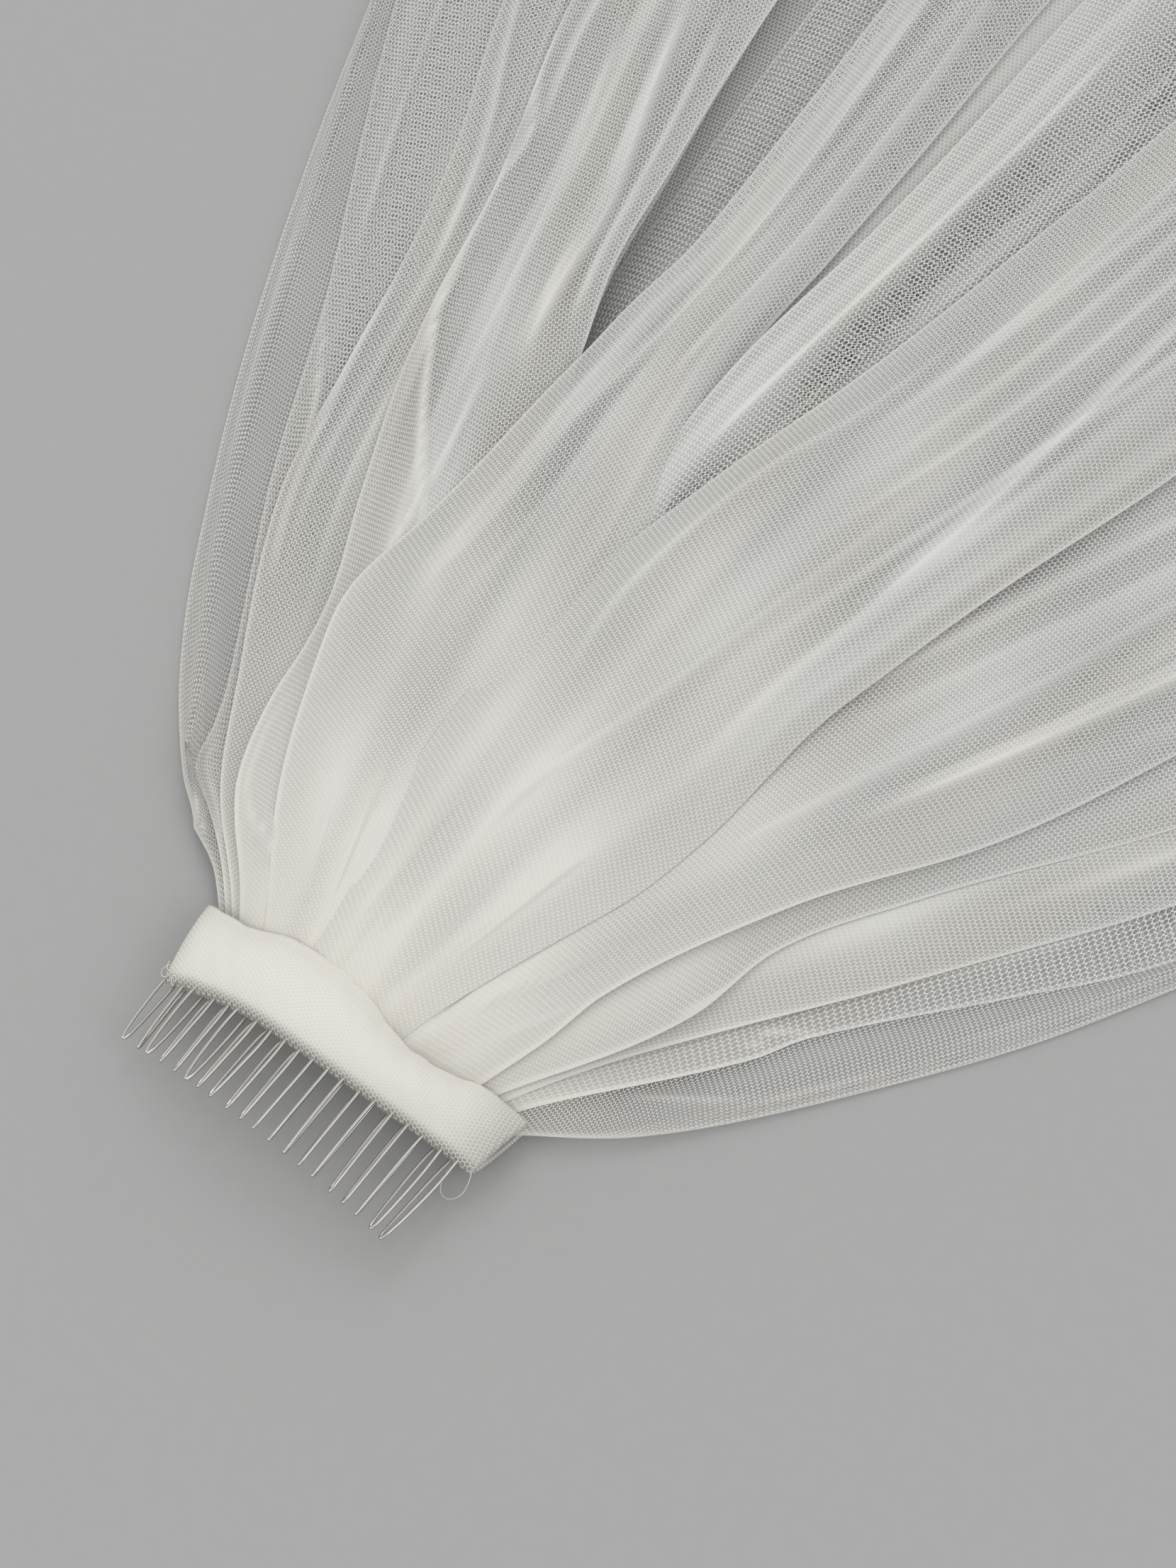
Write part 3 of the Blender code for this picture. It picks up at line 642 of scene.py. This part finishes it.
def layFill(lay, z, x, y, s, angle, share, inward, shine):
    h = laySettings
    seed = lay["seed"]
    slope = np.gradient(z, axis=1) / np.maximum(np.hypot(np.gradient(x, axis=1),
                                                          np.gradient(y, axis=1)), 0.02)
    steep = 1.0 - 1.0 / np.sqrt(1.0 + slope ** 2)
    streaks = (h["streaks"] * np.sin(angle * 1.35 + seed * 3.0 + 0.8 * np.sin(s / 95.0 + seed))
               * np.sin(angle * 0.47 - s / 160.0 + seed * 1.3)
               + h["fineStreaks"] * np.sin(angle * 5.2 + seed * 5.0 + 0.9 * np.sin(s / 60.0))
               * np.sin(angle * 1.9 + s / 75.0 + seed))
    streaks = streaks * (0.25 + 0.75 * over(*h["streakReach"], s))
    streaks = streaks + (h["patches"] * np.sin(angle * 0.45 + s / 26.0 + seed)
                         * np.sin(s / 17.0 - angle * 0.3 + 2.0 * seed)
                         * (1.0 - 0.8 * over(*h["patchFade"], s)))
    gathered = lay["rootFill"] * np.exp(-((s - firstRow) / lay["rootReach"]) ** 1.4)
    fill = (lay["fill"] + streaks) * ease(inward / h["fillInset"]) + gathered
    width = (x.max(axis=1) - x.min(axis=1))[:, None]
    fill = fill + thinPleats(lay, share, width, s) * ease(inward / h["pleatInset"])
    start, stop = lay.get("edgeFrom", (0.0, 20.0))
    fill = fill + h["edgeShine"] * over(start, stop, s) * np.exp(-(inward / h["edgeLine"]) ** 2)
    if "dense" in lay:        # lies doubled between two lines
        for low, high, amount in lay["dense"]:
            start, stop = edgeAngle(low, s), edgeAngle(high, s)
            inside = ease((angle - start) / 0.8 + 0.5) * ease((stop - angle) / 1.6 + 0.5)
            fill = fill + amount * inside
    return np.clip(fill + shine + h["steepFill"] * steep, 0.0, h["mostFill"])


def sheetObject(lay, x, y, z, s, angle, share, inward, shine, material):
    rows, columns = x.shape
    h = laySettings
    strides = np.hypot(np.hypot(np.diff(x, axis=1), np.diff(y, axis=1)), np.diff(z, axis=1))
    u = np.hstack((np.zeros((rows, 1)), np.cumsum(strides, axis=1)))
    middle = columns // 2
    u = u - u[:, middle:middle + 1]
    stretch = lay.get("stretch", (1.06, 0.78))
    v = (s + 0.35 * np.sin(u / 23.0 + lay["seed"])) * stretch[1]
    squeezed = u * stretch[0] * (h["trueSize"] / (s + fanBack)) ** h["squeeze"]
    turn = radians(lay["grain"])
    weaveU = squeezed * cos(turn) - v * sin(turn)
    weaveV = squeezed * sin(turn) + v * cos(turn)
    fill = layFill(lay, z, x, y, s, angle, share, inward, shine)
    warmth = np.exp(-(s - firstRow) / h["warmReach"]) + 0.1 * np.sin(angle * 0.8 + s / 50.0)
    tone = np.clip(warmth, 0.0, 1.0)

    bm = bmesh.new()
    bmesh.ops.create_grid(bm, x_segments=columns - 1, y_segments=rows - 1, size=1.0)
    piece = meshObject(lay["name"], bm)
    mesh = piece.data
    place = np.empty(len(mesh.vertices) * 3)
    mesh.vertices.foreach_get("co", place)
    place = place.reshape(-1, 3)
    column = np.rint((place[:, 0] + 1.0) * 0.5 * (columns - 1)).astype(int)
    row = np.rint((place[:, 1] + 1.0) * 0.5 * (rows - 1)).astype(int)
    place[:, 0] = combX + x[row, column] * mm
    place[:, 1] = combY + y[row, column] * mm
    place[:, 2] = z[row, column] * mm
    mesh.vertices.foreach_set("co", place.ravel())
    corner = np.empty(len(mesh.loops), dtype=int)
    mesh.loops.foreach_get("vertex_index", corner)
    weave = np.stack((weaveU[row, column], weaveV[row, column]), axis=1)[corner] * mm
    mesh.uv_layers.new(name="weave").data.foreach_set("uv", weave.ravel())
    for name, values in (("fill", fill), ("tone", tone)):
        layer = mesh.attributes.new(name, "FLOAT", "POINT")
        layer.data.foreach_set("value", values[row, column])
    mesh.update()
    mesh.materials.append(material)
    ride(piece, "net", lay.get("node", "veil_inner_folds"))
    print(f"{lay['name']}: {2 * len(mesh.polygons)} triangles, {z.max():.1f} mm high")


rightFallSeed = 9.7
# Creases: (points), rise, steep and soft half width, shine, doubled width, in millimetres
lays = (
    {"name": "leftUnder", "left": "stripLeft", "right": "wedgeLeft", "inRight": 0.6,
     "level": (0.25, 0.95), "sink": (0.2, 0.0), "hem": 734.0, "flat": (0.374, 0.728), "area": 0.160,
     "columns": 110, "gathers": 7, "seed": 1.3, "grain": 8.0,
     "fill": 0.04, "rootFill": 0.55, "rootReach": 60.0,
     "on": "floorLay",
     "creases": (
         (((189, -32.3), (172, -32.0), (157, -31.7), (136, -32.2)), 1.6, 0.8, 2.5, 0.5, 0.0),
         (((66, -36.0), (54, -36.4), (39, -34.6), (28, -32.6)), 2.2, 1.0, 3.0, 0.3, 0.0),
         (((340, -28.6), (300, -29.2), (250, -30.2), (200, -31.2)), 0.8, 0.8, 2.5, 0.35, 0.0),
     )},
    {"name": "leftMiddle", "left": "secondLeft", "right": "wedgeLeft", "inRight": 0.3,
     "level": (1.25, 1.95), "sink": (0.25, 0.0), "hem": 728.0, "flat": (0.290, 0.722),
     "area": 0.119, "columns": 110, "gathers": 6, "seed": 2.1, "grain": -21.0,
     "fill": 0.08, "rootFill": 0.65, "rootReach": 90.0,
     "on": "leftUnder",
     "creases": (
         (((330, -25.4), (290, -26.0), (240, -25.6), (200, -26.4)), 1.5, 0.9, 4.0, 0.3, 3.0),
         (((201, -28.0), (167, -30.0), (130, -32.0), (104, -32.6)), 1.2, 0.8, 2.4, 0.4, 2.5),
     )},
    {"name": "rightUnder", "left": "wedgeSlit", "right": "stripRight", "double": False,
     "level": (0.1, 0.8), "sink": (0.0, 0.1), "hem": 736.0, "flat": (0.463, 0.730), "area": 0.218,
     "columns": 170, "gathers": 9, "seed": 3.2, "grain": 4.0, "stretch": (0.88, 0.56),
     "fill": 0.0, "rootFill": 0.75, "rootReach": 110.0,
     "dense": (("slitLeft", "darkLeft", 0.5),),
     "on": "floorLay",
     "creases": (
         (((74, 33.0), (79, 31.4), (84, 31.8), (92, 32.8)), 1.2, 0.8, 2.0, 0.3, 0.0),
     )},
    {"name": "rightMiddle", "left": "darkRight", "right": "secondRight", "inLeft": -1.6,
     "level": (1.25, 1.9), "sink": (0.3, 0.4), "hem": 730.0, "flat": (0.503, 0.724), "area": 0.272,
     "columns": 150, "gathers": 11, "seed": 4.4, "grain": 4.0,
     "fill": 0.3, "rootFill": 0.75, "rootReach": 150.0,
     "on": "rightUnder"},
    {"name": "rightUpper", "left": "darkRight", "right": "thirdRight", "inLeft": 0.8,
     "level": (2.1, 2.7), "sink": (0.2, 0.15), "hem": 724.0, "flat": (0.377, 0.718), "area": 0.214,
     "columns": 150, "gathers": 13, "seed": 5.6, "grain": -16.0,
     "fill": 0.3, "rootFill": 0.75, "rootReach": 150.0,
     "on": "rightMiddle",
     "creases": (
         (((60, 27.6), (76, 26.8), (92, 25.9)), 1.2, 0.9, 2.5, 0.3, 0.0),
     )},
    {"name": "leftFall", "left": "fallLeft", "right": "wedgeLeft", "hem": 714.0,
     "flat": (0.176, 0.708), "area": 0.080,
     "columns": 140, "gathers": 6, "seed": 6.5, "grain": 13.0, "span": ("fallLeft", "wedgeLeft"),
     "fill": 0.10, "rootFill": 0.85, "rootReach": 125.0, "sink": (0.9, 0.0),
     "folds": leftFolds, "node": "veil_left_fall", "held": "gathered", "on": "leftMiddle",
     "cover": ("stripEdge", 160.0, 200.0),
     "creases": (
         (((290, -23.4), (267, -24.0), (244, -23.4), (225, -24.4), (189, -25.2), (150, -25.6)),
          2.0, 0.9, 3.2, 0.45, 3.5),
         (((214, -26.2), (189, -25.4), (153, -24.0), (117, -20.8)), 1.8, 0.9, 2.6, 0.5, 2.5),
         (((330, -18.8), (263, -18.4), (223, -18.0), (200, -18.6), (166, -19.4)),
          2.0, 1.0, 3.4, 0.4, 4.0),
         (((310, -21.4), (250, -20.9), (200, -21.4), (150, -22.6)), 1.2, 1.0, 3.6, 0.2, 0.0),
         (((300, -17.0), (255, -17.0), (215, -17.4), (185, -17.4)), 0.9, 0.8, 2.4, 0.35, 2.0),
         (((173, -20.8), (129, -21.9), (92, -25.3)), 1.4, 0.8, 2.6, 0.3, 0.0),
         (((420, -19.0), (350, -20.0), (290, -22.4), (240, -23.0)), 1.0, 0.9, 3.0, 0.3, 3.0),
         (((30, -21.0), (31, -25.2), (37, -29.4), (47, -30.8), (62, -30.0), (80, -27.6)),
          2.4, 1.1, 5.0, 0.2, 0.0),
         (((52, -24.0), (34, -23.2), (20, -22.0)), 1.0, 0.6, 2.0, 0.1, 0.0),
     )},
    {"name": "centreUnder", "left": "stripEdge", "right": "slitRight", "inLeft": 1.6,
     "inRight": -1.2, "dense": (("slitLeft", "slitRight", 0.5),),
     "level": (2.2, 2.8), "hem": 722.0, "flat": (0.168, 0.716), "area": 0.071,
     "columns": 90, "gathers": 5, "seed": 7.9, "grain": -9.0,
     "fill": 0.15, "rootFill": 0.75, "rootReach": 130.0,
     "on": "rightUnder"},
    {"name": "centreFall", "left": "stripEdge", "right": "slitLeft", "hem": 717.0,
     "flat": (0.123, 0.711), "area": 0.060,
     "columns": 130, "gathers": 6, "seed": 8.8, "grain": 22.0,
     "span": ("wedgeLeft", "fallRight"), "folds": rightFolds, "lift": 2.4,
     "fill": 0.06, "rootFill": 0.9, "rootReach": 140.0,
     "node": "veil_right_fall", "held": "gathered", "on": "centreUnder",
     "creases": (
         (((340, -9.4), (290, -9.8), (240, -10.4), (190, -12.0), (150, -14.6)),
          1.4, 1.0, 5.0, 0.25, 3.0),
         (((350, -7.4), (300, -7.6), (240, -8.4), (200, -9.6), (170, -10.8)),
          1.0, 0.9, 3.0, 0.35, 0.0),
         (((120, -21.0), (105, -17.0), (90, -14.0), (70, -13.0)), 1.5, 1.6, 6.0, 0.0, 0.0),
         (((58, -15.0), (40, -14.0), (22, -13.0)), 1.1, 0.6, 2.2, 0.05, 0.0),
         (((46, -19.0), (32, -18.2), (19, -17.0)), 0.8, 0.5, 1.8, 0.05, 0.0),
     )},
    {"name": "rightFall", "left": "darkRight", "right": "fallRight", "inLeft": 1.2,
     "hem": 717.0, "flat": (0.312, 0.711), "area": 0.179,
     "columns": 170, "gathers": 13, "seed": rightFallSeed, "grain": -5.0,
     "span": ("wedgeLeft", "fallRight"), "folds": rightFolds,
     "fill": 0.14, "rootFill": 0.8, "rootReach": 150.0, "sink": (0.0, 0.28), "pleats": 8,
     "node": "veil_right_fall", "held": "gathered", "on": "rightUpper",
     "creases": (
         (((330, 17.4), (250, 18.2), (180, 18.6), (120, 17.6), (90, 16.4)),
          1.4, 1.2, 6.0, 0.2, 0.0),
         (((320, 21.6), (240, 21.9), (170, 21.6), (110, 19.8)), 1.2, 1.0, 4.0, 0.3, 4.0),
         (((60, 18.6), (40, 17.4), (22, 15.4)), 1.0, 0.6, 2.2, 0.05, 0.0),
         (((44, 22.0), (32, 21.4), (20, 20.4)), 0.8, 0.5, 1.8, 0.1, 0.0),
     )},
    {"name": "darkStrip", "left": "slitRight", "right": "darkUnder", "hem": 712.0,
     "flat": (0.215, 0.706), "area": 0.088,
     "columns": 100, "gathers": 3, "seed": 10.1, "grain": 5.0, "stretch": (0.94, 0.66),
     "fill": 0.0, "rootFill": 0.8, "rootReach": 110.0,
     "dense": (("slitRight", "darkLeft", 0.36),), "pleats": 3,
     "span": ("slitRight", "darkLeft"), "folds": (),
     "under": (rightFolds, "wedgeLeft", "fallRight"), "clear": (0.0, 1.0),
     "edgeFrom": (110.0, 170.0),
     "node": "veil_top_fold", "held": "gathered", "on": "rightUnder",
     "creases": (
         (((340, -1.9), (300, -2.4), (240, -3.6), (190, -5.0), (160, -6.0)),
          0.8, 0.9, 2.5, 0.3, 2.0),
     )},
    {"name": "topFold", "left": "darkRight", "right": "topRight", "hem": 706.0,
     "flat": (0.143, 0.700), "area": 0.088,
     "columns": 150, "gathers": 9, "seed": 11.4, "grain": 16.0, "span": ("slitRight", "topRight"),
     "folds": topFolds, "under": (rightFolds, "wedgeLeft", "fallRight"), "clear": (1.5, 3.4),
     "follow": rightFallSeed, "edgeFrom": (110.0, 190.0),
     "fill": 0.12, "rootFill": 0.85, "rootReach": 170.0, "pleats": 7,
     "node": "veil_top_fold", "held": "gathered", "on": "rightFall",
     "creases": (
         (((237, 1.6), (197, 0.6), (162, -2.0), (120, -4.4), (92, -4.0)),
          1.6, 1.4, 6.0, 0.25, 0.0),
         (((200, 6.2), (150, 5.2), (110, 3.6), (70, 0.4), (44, -1.0)), 1.2, 1.4, 5.0, 0.15, 0.0),
         (((300, 8.0), (240, 8.6), (190, 9.2), (150, 9.0)), 1.2, 1.2, 5.0, 0.3, 4.0),
         (((360, 4.2), (300, 3.6), (250, 3.0), (210, 2.2)), 0.9, 0.9, 3.0, 0.3, 0.0),
         (((62, -5.0), (42, -6.0), (22, -7.4)), 1.2, 0.6, 2.4, 0.05, 0.0),
         (((50, 4.0), (34, 4.6), (19, 5.0)), 1.0, 0.5, 2.0, 0.05, 0.0),
         (((66, 9.6), (44, 9.0), (24, 8.0)), 1.1, 0.6, 2.4, 0.05, 0.0),
     )},
)

# The lowest lay lies on the table and tucks under along both outlines
floorLay = {
    "name": "floorLay", "hem": 750.0, "columns": 170, "seed": 0.7, "grain": 3.0,
    "flat": (0.752, 0.744), "area": 0.348,
    "fill": 0.0, "rootFill": 0.4, "rootReach": 32.0,
    "node": "veil_floor_lay", "held": "laid", "on": (),
    "tucks": (6.0, 4.0), "tuckColumns": 9, "tuckStop": 70.0,
    "gap": (0.25, 0.1), "body": (0.35, 0.65), "rim": 3.0, "waves": 0.12,
    "creases": (
        (((40, 33.2), (56, 35.8), (71, 37.3), (87, 37.6), (110, 37.4)), 1.2, 0.8, 2.0, 0.35, 0.0),
        (((40, -37.2), (34, -36.6), (28, -35.2)), 1.2, 0.6, 1.2, 0.4, 0.0),
        (((300, -32.0), (240, -33.6), (180, -35.4), (130, -37.2)), 0.5, 0.6, 1.4, 0.3, 0.0),
        (((260, 33.2), (200, 35.0), (150, 36.6), (110, 37.2)), 0.5, 0.6, 1.4, 0.3, 0.0),
    ),
}


def buildFloorLay(lay, material):
    s = layRows(lay["hem"])
    left = edgeAngle("outlineLeft", s) + edgeWobble(s, 2.2)
    right = edgeAngle("outlineRight", s) + edgeWobble(s, 3.9)
    width = np.radians(right - left) * (s + fanBack)
    upper, _ = layColumns(width, s, lay["columns"], False)
    tuck = np.linspace(1.0, 0.0, lay["tuckColumns"])[None, :-1]
    tuck = tuck * (0.1 + 0.9 * over(firstRow, lay["tuckStop"], s))
    tuckLeft, tuckRight = lay["tucks"]
    across = np.hstack((tuckLeft * tuck, upper, width - tuckRight * tuck[:, ::-1]))
    tucks = tuck.shape[1]
    side = np.ones(across.shape[1])
    side[:tucks] = side[-tucks:] = -1.0
    s = np.broadcast_to(s, across.shape)
    angle = left + np.degrees(across / (s + fanBack))
    x, y = fanPoint(angle, s)
    inward = np.minimum(across, width - across)
    creaseHigh, shine = creaseRelief(lay["creases"], x, y)
    lift = floorHeight(angle, s)
    rest = floorHeight(np.where(angle < 0, left, right) + 0.0 * angle, s)
    edge = np.clip(inward / lay["rim"], 0.0, 1.0)
    rim = np.sqrt(1.0 - (1.0 - edge) ** 2)
    thin, crowned = lay["body"]
    waves = lay["waves"] * slackWaves(angle, s, lay["seed"]) ** 2
    high = lift + thin + crowned * rim + creaseHigh + waves
    gap, curled = lay["gap"]
    low = rest + gap + curled * (1.0 - rim)
    z = np.where(side > 0, high, low)
    sheetObject(lay, x, y, z, s, angle, across / width, inward, shine, material)


bandSettings = {
    # its edge at the teeth and its mouth, in millimetres along and from the comb
    "lower": ((-38.6, -12.4), (-30.0, -10.9), (-17.7, -9.3), (0.0, -8.7), (16.9, -7.6),
              (29.3, -6.3), (42.2, -4.8)),
    "upper": ((-43.4, 5.6), (-36.0, 5.0), (-29.0, 5.2), (-21.5, 7.6), (-12.0, 8.4), (-3.2, 8.2),
              (6.0, 6.2), (12.0, 4.3), (15.7, 3.9), (21.0, 4.1), (25.9, 5.0), (33.4, 8.1),
              (44.2, 9.4)),
    "along": 150, "around": 64,
    "front": (1.7, 4.3),             # clear of the arch at its edges, and its crown
    "back": (2.15, 4.35),            # clear of the arch at the teeth and at the mouth
    "mouthSink": 0.8, "backBow": 1.4,
    "nose": 1.3, "fold": 0.86,       # the cloth's fold at the teeth, from this share of each face
    "lumps": (0.16, 0.06), "puckered": 0.3,
    "clothLength": 37.0,             # from mouth to mouth
    "fullest": 0.96,
    "wall": 1.0 * mm,
    # puckers in the mouth: place, depth and half width in millimetres
    "puckers": ((-39.0, 0.4, 1.6), (-31.5, 0.5, 1.8), (-24.0, 0.6, 2.0), (-17.5, 0.4, 1.6),
                (-9.0, 0.8, 2.0), (-1.0, 0.5, 1.8), (8.5, 1.0, 2.2), (17.0, 1.3, 2.4),
                (22.5, 0.6, 1.6), (29.5, 0.8, 2.0), (38.5, 0.4, 1.8)),
}


def buildBand(settings, material):
    bm = bmesh.new()
    bmesh.ops.create_grid(bm, x_segments=settings["along"], y_segments=settings["around"], size=1.0)
    weave = bm.loops.layers.uv.new("weave")
    fill = bm.verts.layers.float.new("fill")
    tone = bm.verts.layers.float.new("tone")
    lower, upper = settings["lower"], settings["upper"]
    fold, puckered = settings["fold"], settings["puckered"]
    large, small = settings["lumps"]
    places = {}
    for vert in bm.verts:
        # u runs along the band, v from the front mouth round the teeth's edge to the back
        u, v = vert.co.x, vert.co.y
        share = 0.5 * (u + 1.0)
        down = 1.0 - abs(v)                                  # 0 at the mouth, 1 at the teeth
        across = 1.0 - min(1.0, down / fold)
        lowX = lower[0][0] + (lower[-1][0] - lower[0][0]) * share
        highX = upper[0][0] + (upper[-1][0] - upper[0][0]) * share
        lowY, highY = float(lineThrough(lower, lowX)), float(lineThrough(upper, highX))
        pucker = sum(depth * np.exp(-((highX - place) / width) ** 2)
                     for place, depth, width in settings["puckers"])
        highY -= puckered * pucker
        x = lowX + (highX - lowX) * across
        y = lowY + (highY - lowY) * across
        y -= settings["nose"] * max(0.0, (down - fold) / (1.0 - fold))
        closed = min(1.0, (1.0 - down) / (1.0 - fold))
        body = sqrt(max(0.0, 1.0 - (1.0 - closed) ** 2))     # rounds the fold at the teeth
        roundEnd = sqrt(max(0.0, 1.0 - abs(u) ** 12))
        lumps = (large * sin(x * 0.27 + 1.1 + 0.1 * y) * sin(pi * across)
                 + small * sin(x * 0.9 + y * 0.7))
        if v < 0:
            edge, crown = settings["front"]
            offset = edge + crown * sin(pi * (0.16 + 0.82 * across)) ** 0.9 + lumps
            offset -= puckered * pucker * across ** 2
            offset -= settings["mouthSink"] * float(ease((across - 0.7) / 0.3))
        else:
            edge, mouth = settings["back"]
            offset = edge + (mouth - edge) * across + 0.5 * lumps
            offset += settings["backBow"] * sin(pi * across) ** 0.8
        offset *= body * (0.35 + 0.65 * roundEnd)
        facing = 1.0 if v < 0 else -1.0
        vert.co = (combX + x * mm, combY + y * mm, (archHeight(x) + facing * offset) * mm)
        places[vert] = (x * mm, 0.5 * (v + 1.0) * settings["clothLength"] * mm)
        thin = 0.6 * np.exp(-(min(1.0 - down, 0.3) / 0.10) ** 2)
        thin += 0.3 * np.exp(-((1.0 - share) / 0.07) ** 2) + 0.2 * np.exp(-(share / 0.03) ** 2)
        vert[fill] = float(np.clip(settings["fullest"] - thin, 0.25, 0.97))
        vert[tone] = 1.0
    for face in bm.faces:
        for loop in face.loops:
            a, b = places[loop.vert]
            loop[weave].uv = (a * 0.82 - b * 0.57, a * 0.57 + b * 0.82)
    bmesh.ops.recalc_face_normals(bm, faces=bm.faces)
    band = meshObject("band", bm)
    wall = band.modifiers.new("layers", "SOLIDIFY")
    wall.thickness = settings["wall"]
    wall.offset = -1.0
    band.data.materials.append(material)
    ride(band, "band_net", "band_front", "band_back")


wireSettings = {
    "count": 20, "pitch": 4.0, "radius": 0.4, "spread": 1.4, "tipY": -30.2,
    # how far each tooth's tip leans along the comb, and how far it is turned about its length
    "lean": (0.9, 1.7, 0.6, 0.7, 1.0, 0.6, 0.0, -0.3, 0.4, 0.4, 0.0, 0.3, 0.6, 0.6, 0.3, 1.0,
             0.5, 0.0, -0.1, -1.5),
    "turn": (-30, 24, -38, 52, 46, -50, 44, 50, 40, 34, 16, 8, -6, 10, -8, 12, 6, -14, 30, 26),
    "turnReach": (2.0, 14.0),        # turned only outside the band
    # one side of a hairpin: how far along it, and its share of the spread
    "profile": ((0.6, 0.95), (-1.5, 1.0), (-13.0, 0.96), (-22.0, 0.82), (-27.0, 0.58),
                (-29.5, 0.3)),
}
wireFinish = {
    "colour": (0.60, 0.58, 0.55, 1.0),
    "roughness": (0.17, 0.29),
    "grain": 500.0, "drawn": 0.08,   # fine marks, drawn out along the wire
    "bump": 0.03, "depth": 0.005 * mm,
}


def wireMaterial(name, finish):
    material, tree, shader = newMaterial(name)
    place = addNode(tree, "ShaderNodeTexCoord").outputs["Object"]
    drawn = addNode(tree, "ShaderNodeMapping", {"Vector": place,
                                                "Scale": (1.0, finish["drawn"], 1.0)})
    noise = addNode(tree, "ShaderNodeTexNoise", {"Scale": finish["grain"], "Detail": 2.0,
                                                 "Vector": drawn.outputs[0]}).outputs["Fac"]
    feed(tree, shader, {
        "Base Color": finish["colour"], "Metallic": 1.0,
        "Roughness": scaled(tree, noise, *finish["roughness"]),
        "Normal": bumped(tree, noise, finish["bump"], finish["depth"])})
    return material


def curveMesh(name, lines, radius, material, sides=3):
    data = bpy.data.curves.new(name, "CURVE")
    data.dimensions = "3D"
    data.bevel_depth = radius * mm
    data.bevel_resolution = sides
    data.resolution_u = 5
    data.use_fill_caps = True
    for points in lines:
        spline = data.splines.new("BEZIER")
        spline.bezier_points.add(len(points) - 1)
        for target, point in zip(spline.bezier_points, points):
            target.co = (combX + point[0] * mm, combY + point[1] * mm, point[2] * mm)
            target.handle_left_type = target.handle_right_type = "AUTO"
    holder = bpy.data.objects.new(name, data)
    bpy.context.scene.collection.objects.link(holder)
    bpy.context.view_layer.update()
    shape = holder.evaluated_get(bpy.context.evaluated_depsgraph_get())
    mesh = bpy.data.meshes.new_from_object(shape)
    bpy.data.objects.remove(holder, do_unlink=True)
    bpy.data.curves.remove(data)
    mesh.name = name
    mesh.materials.clear()
    mesh.materials.append(material)
    mesh.shade_smooth()
    piece = bpy.data.objects.new(name, mesh)
    bpy.context.scene.collection.objects.link(piece)
    return piece


def buildTeeth(settings, material):
    lines = []
    slopeScale = 2.0 * heapSettings["archRise"] / heapSettings["archHalf"] ** 2
    upper = [(y, settings["spread"] * share) for y, share in settings["profile"]]
    path = upper + [(settings["tipY"], 0.0)] + [(y, -gap) for y, gap in reversed(upper)]
    for number in range(settings["count"]):
        x = settings["pitch"] * (number - 0.5 * (settings["count"] - 1))
        sway, twist = settings["lean"][number], radians(settings["turn"][number])
        points = []
        for y, gap in path:
            turn = np.arctan(slopeScale * x) + twist * float(over(*settings["turnReach"], -y))
            points.append((x + gap * np.sin(turn) + sway * (y / settings["tipY"]) ** 2, y,
                           archHeight(x) + gap * np.cos(turn)))
        lines.append(points)
    teeth = curveMesh("combTeeth", lines, settings["radius"], material)
    nodes = [f"comb_tooth_{number + 1:02d}" for number in range(settings["count"])]
    ride(teeth, "silver_wire", *nodes)


# Sewing thread: a loose loop at the band's right end, ends and stitches at its left
threadSettings = {
    "radius": 0.11,
    "dark": (0.62, 0.60, 0.56, 1.0), "light": (0.78, 0.76, 0.72, 1.0),
    "twist": 1800.0, "roughness": (0.5, 0.7), "bump": 0.3, "depth": 0.02 * mm,
    "lines": (
        ((41.2, -5.0, 8.2), (43.0, -8.4, 5.2), (42.4, -12.4, 2.2), (39.6, -13.6, 1.4),
         (37.6, -11.0, 2.8), (37.9, -6.8, 6.2)),
        ((-40.4, -10.9, 9.8), (-39.0, -12.8, 10.4), (-37.4, -12.2, 10.6), (-34.6, -12.4, 11.0),
         (-32.6, -11.4, 11.6)),
        ((-39.4, -10.4, 9.4), (-40.6, -13.2, 8.6), (-39.2, -14.4, 9.2), (-37.6, -12.8, 10.0)),
        ((-37.2, -11.6, 10.6), (-36.8, -14.0, 10.4), (-35.6, -15.0, 10.2)),
        ((-36.4, -11.2, 10.6), (-33.8, -13.0, 10.4), (-30.0, -12.6, 11.2), (-27.4, -11.2, 12.0)),
    ),
}


def threadMaterial(name, settings):
    material, tree, shader = newMaterial(name)
    place = addNode(tree, "ShaderNodeTexCoord").outputs["Object"]
    twist = addNode(tree, "ShaderNodeTexWave", {
        "Scale": settings["twist"], "Distortion": 0.5, "Vector": place},
        bands_direction="DIAGONAL").outputs["Fac"]
    feed(tree, shader, {
        "Base Color": mixed(tree, twist, settings["dark"], settings["light"]),
        "Roughness": scaled(tree, twist, *settings["roughness"]),
        "Normal": bumped(tree, twist, settings["bump"], settings["depth"])})
    return material


addCamera(cameraSettings)
addStudio(studioSettings)
print("camera, floor and light")

netCloth = netMaterial("veilNet", netSettings)
bandCloth = netMaterial("bandNet", bandNetSettings)
silverWire = wireMaterial("silverWire", wireFinish)
print("materials")

buildFloorLay(floorLay, netCloth)
for lay in lays:
    buildLay(lay, netCloth)
print("net")

buildTeeth(wireSettings, silverWire)
spine = bpy.data.objects["comb_spine"]
spine.data.materials.clear()
spine.data.materials.append(silverWire)
buildBand(bandSettings, bandCloth)
thread = curveMesh("sewingThread", threadSettings["lines"], threadSettings["radius"],
                   threadMaterial("sewingThread", threadSettings), 2)
ride(thread, "band_net")
print("comb and band")

bpy.context.scene.cycles.transparent_max_bounces = 32      # light passes through every lay
